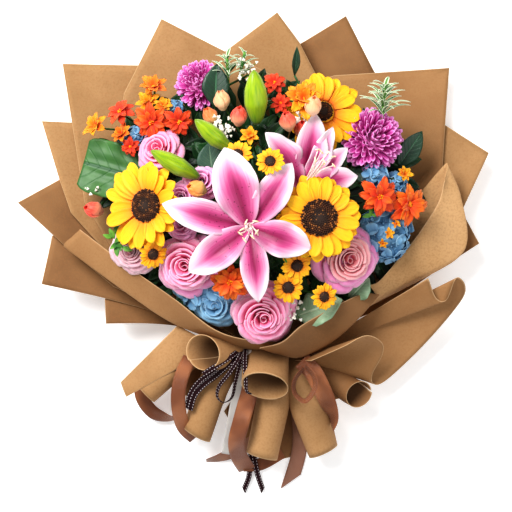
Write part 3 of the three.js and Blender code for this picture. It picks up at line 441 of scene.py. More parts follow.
# Modelling helpers. Shapes are made in millimetres and copied into their pieces.

UP = Vector((0, 0, 1))
STAY = Matrix.Identity(4)
# deep is 0 away from the rolls; inside a roll it sets painted shade in kraft_paper.
OWN_VALUES = {"rim": 9.0, "run": 0.0, "deep": 0.0}
LENGTH_STEPS = 60


def smooth_path(points):
    """A function of t from 0 to 1 on a smooth curve through the points."""
    spots = [Vector(item) for item in points]
    last = len(spots) - 1

    def at(t):
        spot = min(max(t, 0), 1) * last
        i = min(int(spot), last - 1)
        f = spot - i
        p1, p2 = spots[i], spots[i + 1]
        p0 = spots[i - 1] if i > 0 else p1 * 2 - p2
        p3 = spots[i + 2] if i + 2 <= last else p2 * 2 - p1
        return 0.5 * ((2 * p1) + (p2 - p0) * f + (2 * p0 - 5 * p1 + 4 * p2 - p3) * f * f
                      + (3 * p1 - p0 - 3 * p2 + p3) * f * f * f)

    return at


def table(stops):
    """A function that reads a value between the (place, value) stops."""
    places = [at for at, _ in stops]
    values = [value for _, value in stops]
    return lambda t: float(np.interp(t, places, values))


def blend(a, b, t):
    return a + (b - a) * t


def ease(low, high, t):
    t = min(max((t - low) / (high - low), 0), 1)
    return t * t * (3 - 2 * t)


def raised(z):
    return Matrix.Translation((0, 0, z))


def sized(x, y, z):
    return Matrix.Diagonal((x, y, z, 1))


class Shape:
    """A finished mesh that pieces are put together from."""

    def __init__(self, mesh):
        self.points = np.array([vertex.co[:] for vertex in mesh.vertices])
        self.faces = [tuple(face.vertices) for face in mesh.polygons]
        layer = mesh.uv_layers.active.data if mesh.uv_layers else None
        self.uv = np.array([item.uv[:] for item in layer]) if layer else np.zeros((len(mesh.loops), 2))
        self.own = {name: np.array([item.value for item in mesh.attributes[name].data])
                    for name in OWN_VALUES if name in mesh.attributes}


def grid(across, along, place, thickness=0.6, own=None):
    """A sheet from a grid primitive: place(u, v) gives each point, own the functions of its attributes."""
    bpy.ops.mesh.primitive_grid_add(x_subdivisions=across, y_subdivisions=along, size=1)
    sheet = bpy.context.object
    mesh = sheet.data
    spots = [(vertex.co.x + 0.5, vertex.co.y + 0.5) for vertex in mesh.vertices]
    for vertex, (u, v) in zip(mesh.vertices, spots):
        vertex.co = place(u, v)
    for name, value in (own or {}).items():
        layer = mesh.attributes.new(name, "FLOAT", "POINT")
        for item, (u, v) in zip(layer.data, spots):
            item.value = value(u, v)
    solid = sheet.modifiers.new("solid", "SOLIDIFY")
    solid.thickness = thickness
    solid.offset = 0
    bpy.ops.object.modifier_apply(modifier="solid")
    shape = Shape(sheet.data)
    bpy.data.objects.remove(sheet)
    return shape


def part(shape, matrix=STAY, tone=0.5, family=0):
    """A copy of a shape in a piece. Its tone and family vary its colour."""
    return shape, matrix, tone, family


def piece(name, parts, material, node, slot):
    """One piece of the bouquet, which stands for the CAD node."""
    points, faces, uv = [], [], []
    own = {label: [] for label in ("tone", "family", *OWN_VALUES)}
    base = 0
    for shape, matrix, tone, family in parts:
        turn = np.array(matrix)
        points.append(shape.points @ turn[:3, :3].T + turn[:3, 3])
        faces += [tuple(base + i for i in face) for face in shape.faces]
        uv.append(shape.uv)
        count = len(shape.points)
        own["tone"].append(np.full(count, tone))
        own["family"].append(np.full(count, family))
        for label, usual in OWN_VALUES.items():
            own[label].append(shape.own.get(label, np.full(count, usual)))
        base += count
    mesh = bpy.data.meshes.new(name)
    mesh.from_pydata((np.concatenate(points) * MM).tolist(), [], faces)
    mesh.uv_layers.new(name="UVMap").data.foreach_set("uv", np.concatenate(uv).ravel())
    for label, values in own.items():
        layer = mesh.attributes.new(label, "FLOAT", "POINT")
        layer.data.foreach_set("value", np.concatenate(values).astype(np.float32))
    mesh.polygons.foreach_set("use_smooth", np.full(len(mesh.polygons), True))
    mesh.update()
    made = bpy.data.objects.new(name, mesh)
    made.data.materials.append(material)
    bpy.context.collection.objects.link(made)
    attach(made, "root")
    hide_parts(node)
    return made


def placing(at, tilt=(0, 0), spin=0):
    """Where a bloom sits and faces. Its own +Z is its face."""
    face = Vector((tilt[0], tilt[1], 1)).normalized()
    up = (Vector((0, 1, 0)) - face * face.y).normalized()
    side = up.cross(face)
    basis = Matrix((side, up, face)).transposed().to_4x4()
    return Matrix.Translation(at) @ basis @ Matrix.Rotation(math.radians(spin), 4, "Z")


def turned(degrees, tip=0, scale=(1, 1, 1), lift=0.0):
    """A turn round the bloom's face, after tipping the petal up and scaling it."""
    return (Matrix.Rotation(math.radians(degrees), 4, "Z") @ raised(lift)
            @ Matrix.Rotation(math.radians(tip), 4, "X") @ sized(*scale))


def petal(length, width, profile, lift=0.0, curl=0.0, cup=0.0, start=0.0, drop=0.0, cells=(6, 10),
          thickness=0.6, groove=0.0, wave=0.0, bend=0.0, ridges=1):
    """A petal or leaf along +Y. It rises at lift, bends back by curl, and has raised sides and a groove."""
    outline = table(profile)
    ys, zs = [start], [drop]
    for i in range(LENGTH_STEPS):
        rise = math.radians(lift - curl * (i + 0.5) / LENGTH_STEPS)
        ys.append(ys[-1] + length / LENGTH_STEPS * math.cos(rise))
        zs.append(zs[-1] + length / LENGTH_STEPS * math.sin(rise))
    knots = [i / LENGTH_STEPS for i in range(LENGTH_STEPS + 1)]

    def place(u, v):
        s = 2 * u - 1
        half = outline(v) * width / 2
        rise = math.radians(lift - curl * v)
        y = float(np.interp(v, knots, ys))
        z = float(np.interp(v, knots, zs))
        out = cup * width * s * s * outline(v)
        out -= groove * math.exp(-((s * ridges) ** 2) * 30) * math.sin(math.pi * min(v * 1.1, 1))
        if ridges > 1:
            out += groove * math.cos(s * math.pi * ridges) * (1 - abs(s)) * math.sin(math.pi * v)
        out += wave * math.sin(v * 15 + (0 if s > 0 else 1.7)) * abs(s) ** 2 * math.sin(math.pi * v)
        return Vector((s * half + bend * v * v, y - out * math.sin(rise), z + out * math.cos(rise)))

    return grid(*cells, place, thickness)


def ball(radius, rings=4, sides=6, scale=(1, 1, 1)):
    bpy.ops.mesh.primitive_uv_sphere_add(segments=sides, ring_count=rings, radius=radius)
    made = bpy.context.object
    for vertex in made.data.vertices:
        vertex.co = Vector((vertex.co.x * scale[0], vertex.co.y * scale[1], vertex.co.z * scale[2]))
    shape = Shape(made.data)
    bpy.data.objects.remove(made)
    return shape


def tube(points, radius, sides=6, steps=12):
    """A closed round bar on a smooth path."""
    path = smooth_path(points)
    centres = [path(i / steps) for i in range(steps + 1)]
    corners = []
    side = None
    for i, centre in enumerate(centres):
        forward = (centres[min(i + 1, steps)] - centres[max(i - 1, 0)]).normalized()
        if side is None:
            side = forward.orthogonal().normalized()
        side = (side - forward * side.dot(forward)).normalized()
        other = forward.cross(side)
        for turn in (2 * math.pi * k / sides for k in range(sides)):
            corners.append((centre + side * (radius * math.cos(turn)) + other * (radius * math.sin(turn)))[:])
    faces = []
    for low in range(0, steps * sides, sides):
        for k in range(sides):
            n = (k + 1) % sides
            faces.append((low + k, low + n, low + sides + n, low + sides + k))
    faces.append(tuple(range(sides))[::-1])
    faces.append(tuple(steps * sides + k for k in range(sides)))
    mesh = bpy.data.meshes.new("tube")
    mesh.from_pydata(corners, [], faces)
    return Shape(mesh)


# Paper

TIE = Vector((15, -106, 31))
BAND_WIDTH, BAND_HEIGHT = 30.8, 29.3
LAYER, FAN, PAPER = 1.4, 0.006, 0.7
ROLL_LAP = 0.06
CUT_WIDTH, CUT_REACH = 240, 110


def rim_of(width, length, sides=True):
    """How far a point of a sheet lies from its cut edges, in millimetres."""
    def value(u, v):
        near = [(1 - v) * length]
        if sides:
            near += [u * width, (1 - u) * width]
        return min(near)
    return value


def floor_of_band(x, rise):
    inside = max(1 - (x / (BAND_WIDTH - rise)) ** 2, 0.02)
    return TIE.z - (BAND_HEIGHT - rise) * math.sqrt(inside)


def trough(x, y):
    """How high the paper stands where it folds up round the flowers at both sides."""
    dx, dy = x - TIE.x, y - TIE.y
    steep = min(max((abs(math.atan2(dx, dy)) - 0.42) / 0.95, 0), 1.3)
    return 0.24 * math.hypot(dx, dy) * steep ** 1.6


def sway(x, y, size):
    return size * noise.noise(Vector((x * 0.011, y * 0.011, 0.3)))


def back_sheet(edge, layer, neck=(-14, 14), begin=-105, belly=0):
    """A sheet of the back from its neck at the tie to its cut edge. Layers lie on each other from 0 up."""
    rise = 2.2 + layer * LAYER
    parts = len(edge) - 1

    def place(u, v):
        spot = min(u * parts, parts - 1e-6)
        i = int(spot)
        x, y = (blend(edge[i][k], edge[i + 1][k], spot - i) for k in (0, 1))
        start = blend(neck[0], neck[1], u)
        t = v ** 0.9
        px = blend(TIE.x + start, x, t)
        py = blend(begin, y, t) + belly * u * math.sin(math.pi * t)
        reach = math.hypot(px - TIE.x, py - TIE.y)
        low = PAPER / 2 + 0.1 + layer * LAYER * (1 + FAN * reach) + trough(px, py)
        low += (sway(px, py, 2.2 * min(layer, 1)) * ease(0.2, 0.8, t)
                + 1.5 * min(layer, 1) * ease(0.75, 1, t) ** 2)
        return Vector((px, py, blend(floor_of_band(start, rise), low, ease(0, 0.3, t))))

    return grid(parts * 8, 34, place, PAPER, {"rim": rim_of(CUT_WIDTH, 300)})


# Name, finish, layer, edge, the neck's place in the tie and, for two, where it begins and how far it bows
BACK_SHEETS = [
    ("sheet_back_top_right", PAPER_SHADED, 0,
     [(-70, 110), (-28, 190), (50, 239), (104, 272), (135, 211), (176, 140)], (-14, 14)),
    ("sheet_right_low", PAPER_SHADED, 1, [(200, 90), (232, 50), (250, 14), (192, -24), (144, -58)], (12, 20)),
    ("sheet_right_mid", PAPER_LIT, 2, [(150, 180), (213, 148), (262, 115), (232, 51), (186, -14)], (8, 19)),
    ("sheet_back_right", PAPER_HALF_SHADED, 3.4,
     [(44, 188), (90, 203), (219, 211), (214, 147), (209, 79), (164, 4)], (-6, 18)),
    ("sheet_back_top", PAPER_LIT, 4.8,
     [(-70, 176), (-33, 229), (26, 273), (51, 239), (66, 210), (92, 160)], (-12, 12)),
    ("sheet_left_lowest", PAPER_SHADED, 0, [(-152, -30), (-166, -48), (-164, -75)], (-18, -20), -100.3, 9),
    ("sheet_left_low", PAPER_SHADED, 1.2, [(-200, 36), (-224, 22), (-234, -31)], (-17, -20), -100.3, 6),
    ("sheet_left_point", PAPER_SHADED, 2.8,
     [(-182, 102), (-217, 85), (-261, 59), (-209, 11), (-156, -34)], (-14, -19)),
    ("sheet_left_fold", PAPER_LIT, 4.4,
     [(-160, 150), (-205, 149), (-236, 150), (-216, 85), (-203, 48), (-164, 4)], (-9, -18)),
    ("sheet_back_left", PAPER_LIT, 6.2,
     [(-24, 208), (-129, 213), (-213, 214), (-202, 146), (-188, 60), (-156, 6)], (4, -16)),
    ("sheet_back_top_left", PAPER_LIT, 7.4,
     [(-152, 112), (-145, 181), (-103, 264), (-36, 230), (24, 200)], (-13, 8)),
]


def paper_piece(name, material, *shapes, node=None):
    piece(name + "_paper", [part(shape) for shape in shapes], material, node or name, "kraft")


def collar(edge, fold, neck):
    """A sheet that rises from its neck to a fold and turns down to its free edge."""
    lines = [smooth_path(points) for points in (edge, fold, neck)]

    def place(u, v):
        free, bend, low = (line(u) for line in lines)
        inward = free.lerp(bend, 0.82)
        under = bend.lerp(low, 0.16)
        return smooth_path([low, low.lerp(bend, 0.5), under, bend.lerp(inward.lerp(under, 0.5), 0.35), inward,
                            free.lerp(bend, 0.45), free])(v)

    return grid(56, 30, place, PAPER, {"rim": rim_of(CUT_WIDTH, CUT_REACH, False)})


def rolled(stations, start, end):
    """A rolled sheet. A station is a centre, the way the roll faces, its half width and half height."""
    centre = smooth_path([item[0] for item in stations])
    knots = [i / (len(stations) - 1) for i in range(len(stations))]
    ways = [Vector(item[1]).normalized() for item in stations]
    half_width = table(list(zip(knots, (item[2] for item in stations))))
    half_height = table(list(zip(knots, (item[3] for item in stations))))

    def place(u, v):
        faced = [float(np.interp(v, knots, [way[k] for way in ways])) for k in range(3)]
        forward = Vector(faced).normalized()
        steep = ease(0.6, 0.85, abs(forward.z))
        up = UP.lerp(Vector((-forward.x, 0.6, 0)), steep)
        over = (up - forward * up.dot(forward)).normalized()
        side = forward.cross(over)
        turn = math.radians(blend(start, end, u))
        size = 1 - ROLL_LAP * u
        return (centre(v) + side * (half_width(v) * size * math.cos(turn))
                + over * (half_height(v) * size * math.sin(turn)))

    rim = rim_of(half_width(1) * 6, CUT_REACH)
    # deep is 1 at the neck and 0 at the mouth, and it paints shade into the roll; on its outside it is cut to
    # 0.22 of that.
    roll = grid(96, 26, place, PAPER, {"rim": rim, "deep": lambda u, v: 1 - v})
    deep = roll.own["deep"]
    away = np.linalg.norm(roll.points - np.array([centre(1 - share) for share in deep]), axis=1)
    half = len(deep) // 2
    first_outside = away[:half].mean() > away[half:].mean()
    outside = (np.arange(len(deep)) < half) == first_outside
    roll.own["deep"] = np.where(outside, deep * 0.22, deep)
    return roll


def patch(corners, lift):
    """A flap between four corners: outer top, outer end, inner end, inner top."""
    a, b, c, d = (Vector(corner) for corner in corners)

    def place(u, v):
        spot = a.lerp(b, v).lerp(d.lerp(c, v), u)
        spot.z += lift * math.sin(math.pi * u)
        return spot

    return grid(20, 24, place, PAPER, {"rim": rim_of(30, 70)})


def right_skirt():
    edge = smooth_path([
        (62, -114, 84), (96, -98, 98), (121, -86, 96), (139, -94, 80), (141, -108, 66), (131, -130, 52),
        (133, -142, 40), (148, -138, 34), (190, -98, 36), (228, -52, 44), (233, -33, 56), (222, -24, 68),
        (212, -48, 62), (200, -46, 66), (190, -24, 78)])
    neck = smooth_path([(45, -115, 54), (48, -114, 44), (49, -113, 36), (49, -113, 28), (48, -113, 20)])
    return grid(110, 22, lambda u, v: neck(u).lerp(edge(u), v), PAPER, {"rim": rim_of(400, CUT_REACH)})


def back_tail():
    tail = [(-34, -176), (-12, -214), (16, -234), (44, -227), (62, -190)]

    def place(u, v):
        spot = min(u * 4, 3.9999)
        i = int(spot)
        x, y = (blend(tail[i][k], tail[i + 1][k], spot - i) for k in (0, 1))
        return Vector((blend(TIE.x + blend(-8, 8, u), x, v), blend(TIE.y - 6, y, v), 0.8))

    return grid(32, 16, place, PAPER, {"rim": rim_of(100, CUT_REACH)})


# Name, finish, the outer edge, the fold and the neck
COLLARS = [
    ("front_wrap", PAPER_SHADED,
     [(122, -40, 82), (104, -46, 98), (76, -60, 109), (50, -75, 113), (30, -92, 112), (6, -99, 105)],
     [(139, -42, 74), (118, -66, 82), (93, -90, 82), (70, -104, 78), (48, -112, 72), (22, -107, 68)],
     [(40, -99, 46), (36, -99, 50), (32, -99, 53), (28, -99, 55), (23, -99, 57), (18, -99, 58)]),
    ("collar_left", PAPER_HALF_SHADED,
     [(-190, 29, 76), (-134, -13, 86), (-85, -47, 96), (-41, -80, 101), (0, -91, 98), (34, -87, 92)],
     [(-212, 10, 64), (-140, -42, 68), (-98, -70, 70), (-60, -86, 68), (-18, -101, 64), (26, -104, 62)],
     [(-14, -99, 36), (-12, -99, 40), (-9, -99, 43), (-5, -99, 46), (0, -99, 50), (6, -99, 53)]),
    ("collar_right", PAPER_BRIGHTEST_LIT,
     [(209, 82, 66), (202, 58, 66), (182, 27, 70), (161, 1, 76), (138, -26, 78), (126, -32, 78)],
     [(214, 106, 52), (232, 66, 54), (238, 8, 56), (190, -20, 60), (150, -38, 62), (136, -46, 62)],
     [(43, -100, 24), (43, -100, 27), (44, -100, 30), (44, -100, 33), (43, -100, 37), (43, -100, 41)]),
]
# Name, finish, the turns in degrees where the sheet starts and ends, and the stations
ROLLS = [
    ("flute_centre", PAPER_LIT, 232, 836, [
        ((15, -104, 56), (-0.05, -0.95, 0.3), 24, 5), ((13, -121, 71), (-0.1, -0.88, 0.47), 25.5, 15),
        ((12, -141, 88), (-0.16, -0.78, 0.6), 26, 26)]),
    ("flute_left", PAPER_LIT, -60, 300, [
        ((-2, -108, 50), (-0.8, 0, 0.6), 12, 6), ((-28, -108, 66), (-0.6, -0.05, 0.8), 17, 14),
        ((-55.5, -105, 86), (-0.42, -0.12, 0.9), 20.5, 20)]),
    ("flute_right_low", PAPER_SHADED, -150, 200, [
        ((46, -112, 22), (0.9, -0.4, 0.1), 8, 5), ((80, -130, 32), (0.85, -0.45, 0.3), 12, 10),
        ((104, -147, 40), (0.6, -0.45, 0.66), 15, 14), ((116.2, -153, 48), (0.4, -0.34, 0.85), 16, 16)]),
    ("roll_centre", PAPER_LIT, -68, 300, [
        ((20, -112, 30), (-0.1, -0.99, 0), 18, 7), ((24, -135, 36), (-0.15, -0.98, 0), 18.5, 16),
        ((22, -160, 36), (-0.25, -0.96, -0.05), 19, 19), ((9, -223, 27.6), (-0.25, -0.96, -0.08), 18, 18)]),
    ("roll_down_left", PAPER_LIT, -65, 300, [
        ((-6, -109, 38), (-0.6, -0.8, 0), 16, 6), ((-26, -119, 40), (-0.6, -0.8, -0.1), 17, 12),
        ((-44, -142, 38), (-0.45, -0.88, -0.15), 18, 17),
        ((-64, -199, 26), (-0.49, -0.87, -0.12), 17.5, 17.5)]),
    ("roll_down_right", PAPER_LIT, -60, 300, [
        ((36, -110, 34), (0.4, -0.9, 0), 20, 7), ((52, -130, 40), (0.35, -0.93, 0), 22, 16),
        ((62, -168, 36), (0.33, -0.93, -0.1), 21.5, 20), ((77.7, -218, 26), (0.42, -0.9, -0.1), 17.5, 17.5)]),
]
LEFT_ROLL = [((-20, -109, 30), (-0.9, 0.2, 0), 13, 6), ((-56, -104, 36), (-0.93, -0.1, 0), 16, 13),
             ((-92, -124, 42), (-0.8, -0.6, 0), 18, 17), ((-122, -149, 42), (-0.75, -0.66, -0.05), 18, 18)]
LEFT_FLAP = [(-84, -76, 62), (-147.4, -139.6, 50), (-140.7, -155.1, 60), (-40, -100, 58)]
FOLDS = {"left": [(-84, -112, 30), (-78, -156, 25), (-34, -166, 25), (-16, -110, 30)],
         "right": [(50, -112, 34), (66, -166, 26), (100, -158, 28), (104, -128, 34)]}


def wrapper():
    for name, material, layer, edge, *neck in BACK_SHEETS:
        paper_piece(name, material, back_sheet(edge, layer, *neck))
    for name, material, *lines in COLLARS:
        paper_piece(name, material, collar(*lines))
    for name, material, start, end, stations in ROLLS:
        paper_piece(name, material, rolled(stations, start, end))
    # The folds behind the rolls, and the back tail below, use the shaded kraft: painted shade.
    for side, corners in FOLDS.items():
        paper_piece("fold_behind_" + side, PAPER_SHADED, patch(corners, 2), node="roll_down_" + side)
    paper_piece("roll_left", PAPER_LIT, rolled(LEFT_ROLL, -60, 200), patch(LEFT_FLAP, 3))
    paper_piece("skirt_right", PAPER_HALF_SHADED, right_skirt())
    paper_piece("skirt_back", PAPER_SHADED, back_tail())


# Ribbons

RIBBON_STEPS = 64
RIBBON_KINDS = {"satin": (SATIN, "satin"), "dusty": (SATIN_DUSTY, "satin"),
                "white": (WHITE_RIBBON, "white_ribbon"), "stitched": (STITCHED, "dark_ribbon")}
# Name, kind, CAD node, width, what it rests on and the route: x, y, z and the turn there in degrees
RIBBONS = [
    ("satin_left", "satin", "ribbon_satin_left", 16, "roll_down_left_paper",
     [(-70, -112, 62), (-78, -128, 62), (-83, -148, 60), (-83, -170, 52), (-78, -190, 36), (-66, -204, 20)]),
    ("satin_side", "satin", "ribbon_satin_left", 15, "roll_left_paper",
     [(-114, -134, 25), (-126, -148, 22), (-124, -162, 20), (-113, -176, 16, 10), (-98, -182, 14, 50),
      (-86, -181, 16, 75), (-76, -178, 18, 80)]),
    ("satin_centre", "satin", "ribbon_satin_centre", 19, "roll_centre_paper",
     [(-2, -132, 50), (-5, -150, 56), (-9, -164, 61), (-14, -182, 62), (-19, -204, 52), (-17, -222, 34),
      (-8, -241, 9, 10)]),
    ("satin_fold", "satin", "ribbon_satin_centre", 14, "skirt_back_paper",
     [(-12, -236, 10), (8, -235, 5), (32, -222, 3)]),
    ("satin_tip", "dusty", "ribbon_satin_centre", 12, "skirt_back_paper",
     [(-54, -231, 8, 70), (-40, -228, 7, 40), (-24, -222, 6), (-10, -214, 5), (6, -204, 3)]),
    ("satin_right", "satin", "ribbon_satin_right", 20, "roll_down_right_paper",
     [(52, -114, 74, -10), (64, -126, 74), (74, -145, 70, 12), (82, -164, 62, 30), (86, -178, 52, 55),
      (86, -188, 44, 80)]),
    ("satin_loop", "satin", "ribbon_satin_right", 10, "flute_centre_paper",
     [(56, -119, 84, 64), (65, -130, 88, 64), (66, -143, 90, 64), (56, -157, 88, 64), (45, -150, 84, 64),
      (44, -136, 80, 64), (54, -122, 78, 64)]),
    ("satin_tail", "dusty", "ribbon_satin_tail", 17, "skirt_back_paper",
     [(50, -172, 3), (52, -200, 3), (50, -226, 3), (38, -266, 3)]),
    ("white", "white", "ribbon_white", 11.5, "roll_centre_paper",
     [(-8, -99, 54), (-9, -108, 68), (-13, -122, 66), (-18, -148, 50), (-25, -188, 44), (-31, -222, 22)]),
    ("stitched_band", "stitched", "ribbon_stitched", 7, "flute_left_paper",
     [(-10, -100, 54), (-16, -108, 76), (-27, -117, 82), (-40, -129, 74), (-56, -142, 62), (-66, -154, 58),
      (-71, -170, 52)]),
    ("stitched_second", "stitched", "ribbon_stitched", 6, "flute_left_paper",
     [(-14, -100, 54), (-20, -107, 74), (-32, -115, 80), (-44, -125, 74), (-60, -138, 63), (-70, -152, 58),
      (-74, -168, 52)]),
    ("stitched_short", "stitched", "ribbon_stitched", 6, "flute_left_paper",
     [(-14, -100, 56), (-20, -106, 80), (-34, -115, 88), (-55, -128, 92)]),
    ("stitched_loop", "stitched", "ribbon_stitched", 5, "roll_down_left_paper",
     [(-12, -100, 56), (-16, -110, 82), (-26, -126, 84, 20), (-38, -142, 76, 40), (-40, -154, 74, 60),
      (-33, -160, 74, 80), (-24, -154, 76, 60), (-20, -136, 80, 40), (-14, -112, 84, 20)]),
    ("stitched_right_loop", "stitched", "ribbon_stitched", 5, "roll_centre_paper",
     [(-9, -100, 60), (-10, -112, 84), (-9, -134, 92, 30), (-8, -146, 90, 50), (-3, -150, 88, 70)]),
    ("stitched_tail_left", "stitched", "ribbon_stitched_tails", 6, "satin_fold_ribbon",
     [(-3, -210, 10), (-4, -232, 8), (-6, -250, 6), (-13, -268, 3)]),
    ("stitched_tail_right", "stitched", "ribbon_stitched_tails", 6, "satin_fold_ribbon",
     [(-2, -210, 11), (1, -232, 9), (5, -250, 7), (11, -268, 4)]),
]
# How much shorter a cut end is on one side, as a share of the length: above 0 the first side, else the other
SLANTS = {"satin_tail": 0.17, "stitched_tail_left": -0.1, "stitched_tail_right": 0.1}


def ribbon(name, kind, node, width, rests_on, route):
    """A strip of ribbon along its route."""
    material, slot = RIBBON_KINDS[kind]
    slant = SLANTS.get(name, 0)
    places = smooth_path([item[:3] for item in route])
    turns = smooth_path([(item[3] if len(item) > 3 else 0, 0, 0) for item in route])
    line = [places(i / RIBBON_STEPS) for i in range(RIBBON_STEPS + 1)]
    gone = [0.0]
    for a, b in zip(line, line[1:]):
        gone.append(gone[-1] + (b - a).length)

    def place(u, v):
        share = v * (1 - (slant * (1 - u) if slant > 0 else -slant * u) * v ** 4)
        forward = (places(share + 0.01) - places(share - 0.01)).normalized()
        side = forward.cross(UP).normalized()
        side.rotate(Quaternion(forward, math.radians(turns(share).x)))
        return places(share) + side * (width * (u - 0.5))

    run = {"run": lambda u, v: gone[min(int(round(v * RIBBON_STEPS)), RIBBON_STEPS)]}
    made = piece(name + "_ribbon", [part(grid(6, RIBBON_STEPS, place, 0.5, run))], material, node, slot)


# Blooms

LILY_OUTLINE = [(0, 0.24), (0.12, 0.52), (0.3, 0.86), (0.45, 0.99), (0.56, 1), (0.7, 0.88), (0.83, 0.62),
                (0.93, 0.3), (1, 0.03)]
SUN_OUTLINE = [(0, 0.45), (0.25, 0.78), (0.55, 1), (0.8, 0.86), (0.93, 0.52), (1, 0.12)]
ROUND_OUTLINE = [(0, 0.3), (0.3, 0.72), (0.6, 1), (0.8, 0.98), (0.93, 0.72), (1, 0.3)]
STRAP_OUTLINE = [(0, 0.5), (0.4, 0.8), (0.75, 1), (0.93, 0.8), (1, 0.35)]
LEAF_OUTLINE = [(0, 0.06), (0.12, 0.45), (0.35, 0.95), (0.5, 1), (0.7, 0.8), (0.88, 0.4), (1, 0.02)]
MINI_OUTLINE = [(0, 0.5), (0.4, 1), (0.75, 0.86), (0.9, 0.5), (1, 0.04)]
BLADE_OUTLINE = [(0, 0.7), (0.3, 1), (0.7, 0.8), (1, 0.08)]
BROAD_OUTLINE = [(0, 0.7), (0.2, 0.9), (0.5, 1), (0.8, 1), (0.94, 0.92), (1, 0.8)]

# Where each big bloom sits, how its face leans from +Z, and its seat. The stem ends STEM_OVERLAP above it.
STEM_OVERLAP = 3
BLOOMS = {
    "lily_centre": ((-4, 29, 186), (0.02, -0.05), 31),
    "sunflower_right": ((68, 40, 160), (0.14, 0), 8.4),
    "sunflower_left": ((-113, 53, 146), (-0.62, 0.05), 8.4),
    "lily_right": ((57, 76, 156), (0.5, 0.42), 25),
    "rose_front": ((10, -66, 130), (0.05, -0.35), 24.8),
    "rose_left": ((-74, -11, 132), (-0.2, -0.15), 24.4),
    "peony_right": ((103, -4, 130), (0.3, -0.1), 24.8),
    "rose_upper_left": ((-105, 115, 118), (-0.35, 0.3), 18),
    "hydrangea_front": ((-46, -40, 90), (-0.2, -0.3), 20),
    "hydrangea_right": ((142, 26, 84), (0.3, 0), 18),
    "pompon_left": ((-58, 186, 80), (-0.15, 0.25), 15),
    "pompon_right": ((127, 126, 92), (0.3, 0.25), 16.2),
    "sunflower_top": ((74, 155, 108), (0.12, 0.2), 8.4),
    "peony_left": ((-134, 6, 106), (-0.35, -0.1), 19.5),
}
# Blooms whose stem doesn't end under their own place
STEM_PLACES = {"lily_right": (58, 92, 158), "hydrangea_front": (-46, -44, 97), "pompon_right": (127, 128, 88)}


def seat_of(name, place=None, spin=0):
    at, tilt = place or BLOOMS[name][:2]
    return placing(at, tilt, spin)


def lily(name, petals, lift=34, curl=62, drop=-26):
    """A lily from the azimuth, length and width of each petal."""
    matrix = seat_of(name)
    parts = []
    for i, (azimuth, length, width) in enumerate(petals):
        inner = (i + 1) % 2
        shape = petal(length, width, LILY_OUTLINE, lift=lift, curl=curl, cup=0.1, start=3,
                      drop=drop + inner * 2.4, cells=(14, 26), thickness=0.9, groove=1.6,
                      wave=2.2 + 1.6 * inner, bend=dice.uniform(-4, 4))
        parts.append(part(shape, matrix @ turned(-azimuth), dice.random()))
    parts.append(part(ball(7, 8, 10, (1, 1, 0.8)), matrix @ raised(drop), 0.4))
    piece(name + "_petals", parts, LILY, name, "lily_petals")


def lily_heart(name, place, length, drop, spin=0):
    """Eight filaments with their anthers, and the pistil."""
    matrix = placing(*place, spin)
    filaments, anthers = [], []
    for k in range(8):
        turn = matrix @ Matrix.Rotation(math.tau * k / 8 + dice.uniform(-0.35, 0.35), 4, "Z")
        reach = dice.uniform(6, 13)
        top = drop + length + dice.uniform(-5, 3)
        bow = [(1, 0, drop), (reach * 0.45, 1, drop + length * 0.6), (reach, -1, top)]
        filaments.append(part(tube(bow, 0.75, 6, 8), turn))
        tipped = (turn @ Matrix.Translation((reach, -1, top)) @ Matrix.Rotation(dice.uniform(0, 6), 4, "Z")
                  @ Matrix.Rotation(1.4, 4, "X"))
        anthers.append(part(ball(1, 6, 8, (1.0, 1.0, 3.6)), tipped))
    knob = (1.5, 3, drop + length + 5)
    filaments.append(part(tube([(0, 0, drop), (0.5, 1, drop + length * 0.5), knob], 0.9, 8, 8), matrix))
    filaments.append(part(ball(1, 6, 8, (1.6, 1.6, 1.6)), matrix @ Matrix.Translation(knob)))
    piece(name + "_filaments", filaments, FILAMENT, name, "anthers")
    piece(name + "_anthers", anthers, ANTHER, name, "anthers")


def seeds(matrix, radius, count, top=6.0):
    """Seeds over a low dome, closest at its rim."""
    seed = ball(1, 3, 5, (1, 1, 1.4))
    parts = [part(ball(1, 8, 18, (radius * 0.97, radius * 0.97, top - 1)), matrix @ raised(0.6), 0.0, 0.3)]
    for i in range(count):
        share = math.sqrt((i + 0.5) / count)
        r = radius * 0.97 * share
        hollow = 1.2 * math.exp(-(share / 0.35) ** 2)
        z = 0.6 + (top - 1) * math.sqrt(max(1 - share ** 2 * 0.97, 0.02)) - hollow
        size = radius * 0.055 * (0.7 + 0.6 * share)
        local = (Matrix.Translation((r * math.cos(i * GOLDEN), r * math.sin(i * GOLDEN), z))
                 @ sized(size, size, size * 1.3))
        parts.append(part(seed, matrix @ local, dice.random(), share))
    return parts


def sunflower(name, radius, disc_radius, count, disc_node, lean=0.0):
    """lean makes the petals on the left longer and those on the right shorter."""
    matrix = seat_of(name)
    parts = []
    for reach, height, tip, phase in ((1.0, -4.0, 2, 0), (0.93, -2.2, 6, 0.5)):
        shape = petal(radius * (reach - 0.3), radius * 0.33, SUN_OUTLINE, lift=4, curl=16, cup=0.12,
                      start=radius * 0.3, cells=(8, 12), thickness=0.7, groove=1.1, ridges=2)
        for k in range(count):
            turn = 360 * (k + phase) / count + dice.uniform(-5, 5)
            size = dice.uniform(0.9, 1.03) * (1 + lean * math.sin(math.radians(turn)))
            local = turned(turn, tip + dice.uniform(-4, 4), (dice.uniform(0.9, 1.1), size, 1), height)
            parts.append(part(shape, matrix @ local, dice.random()))
    parts.append(part(ball(1, 8, 16, (radius * 0.3, radius * 0.3, 5.5)), matrix @ raised(-3.5)))
    piece(name + "_petals", parts, SUNFLOWER, name, "sunflower_petals")
    piece(name + "_seeds", seeds(matrix, disc_radius, 260), DISC, disc_node, "seed_discs")


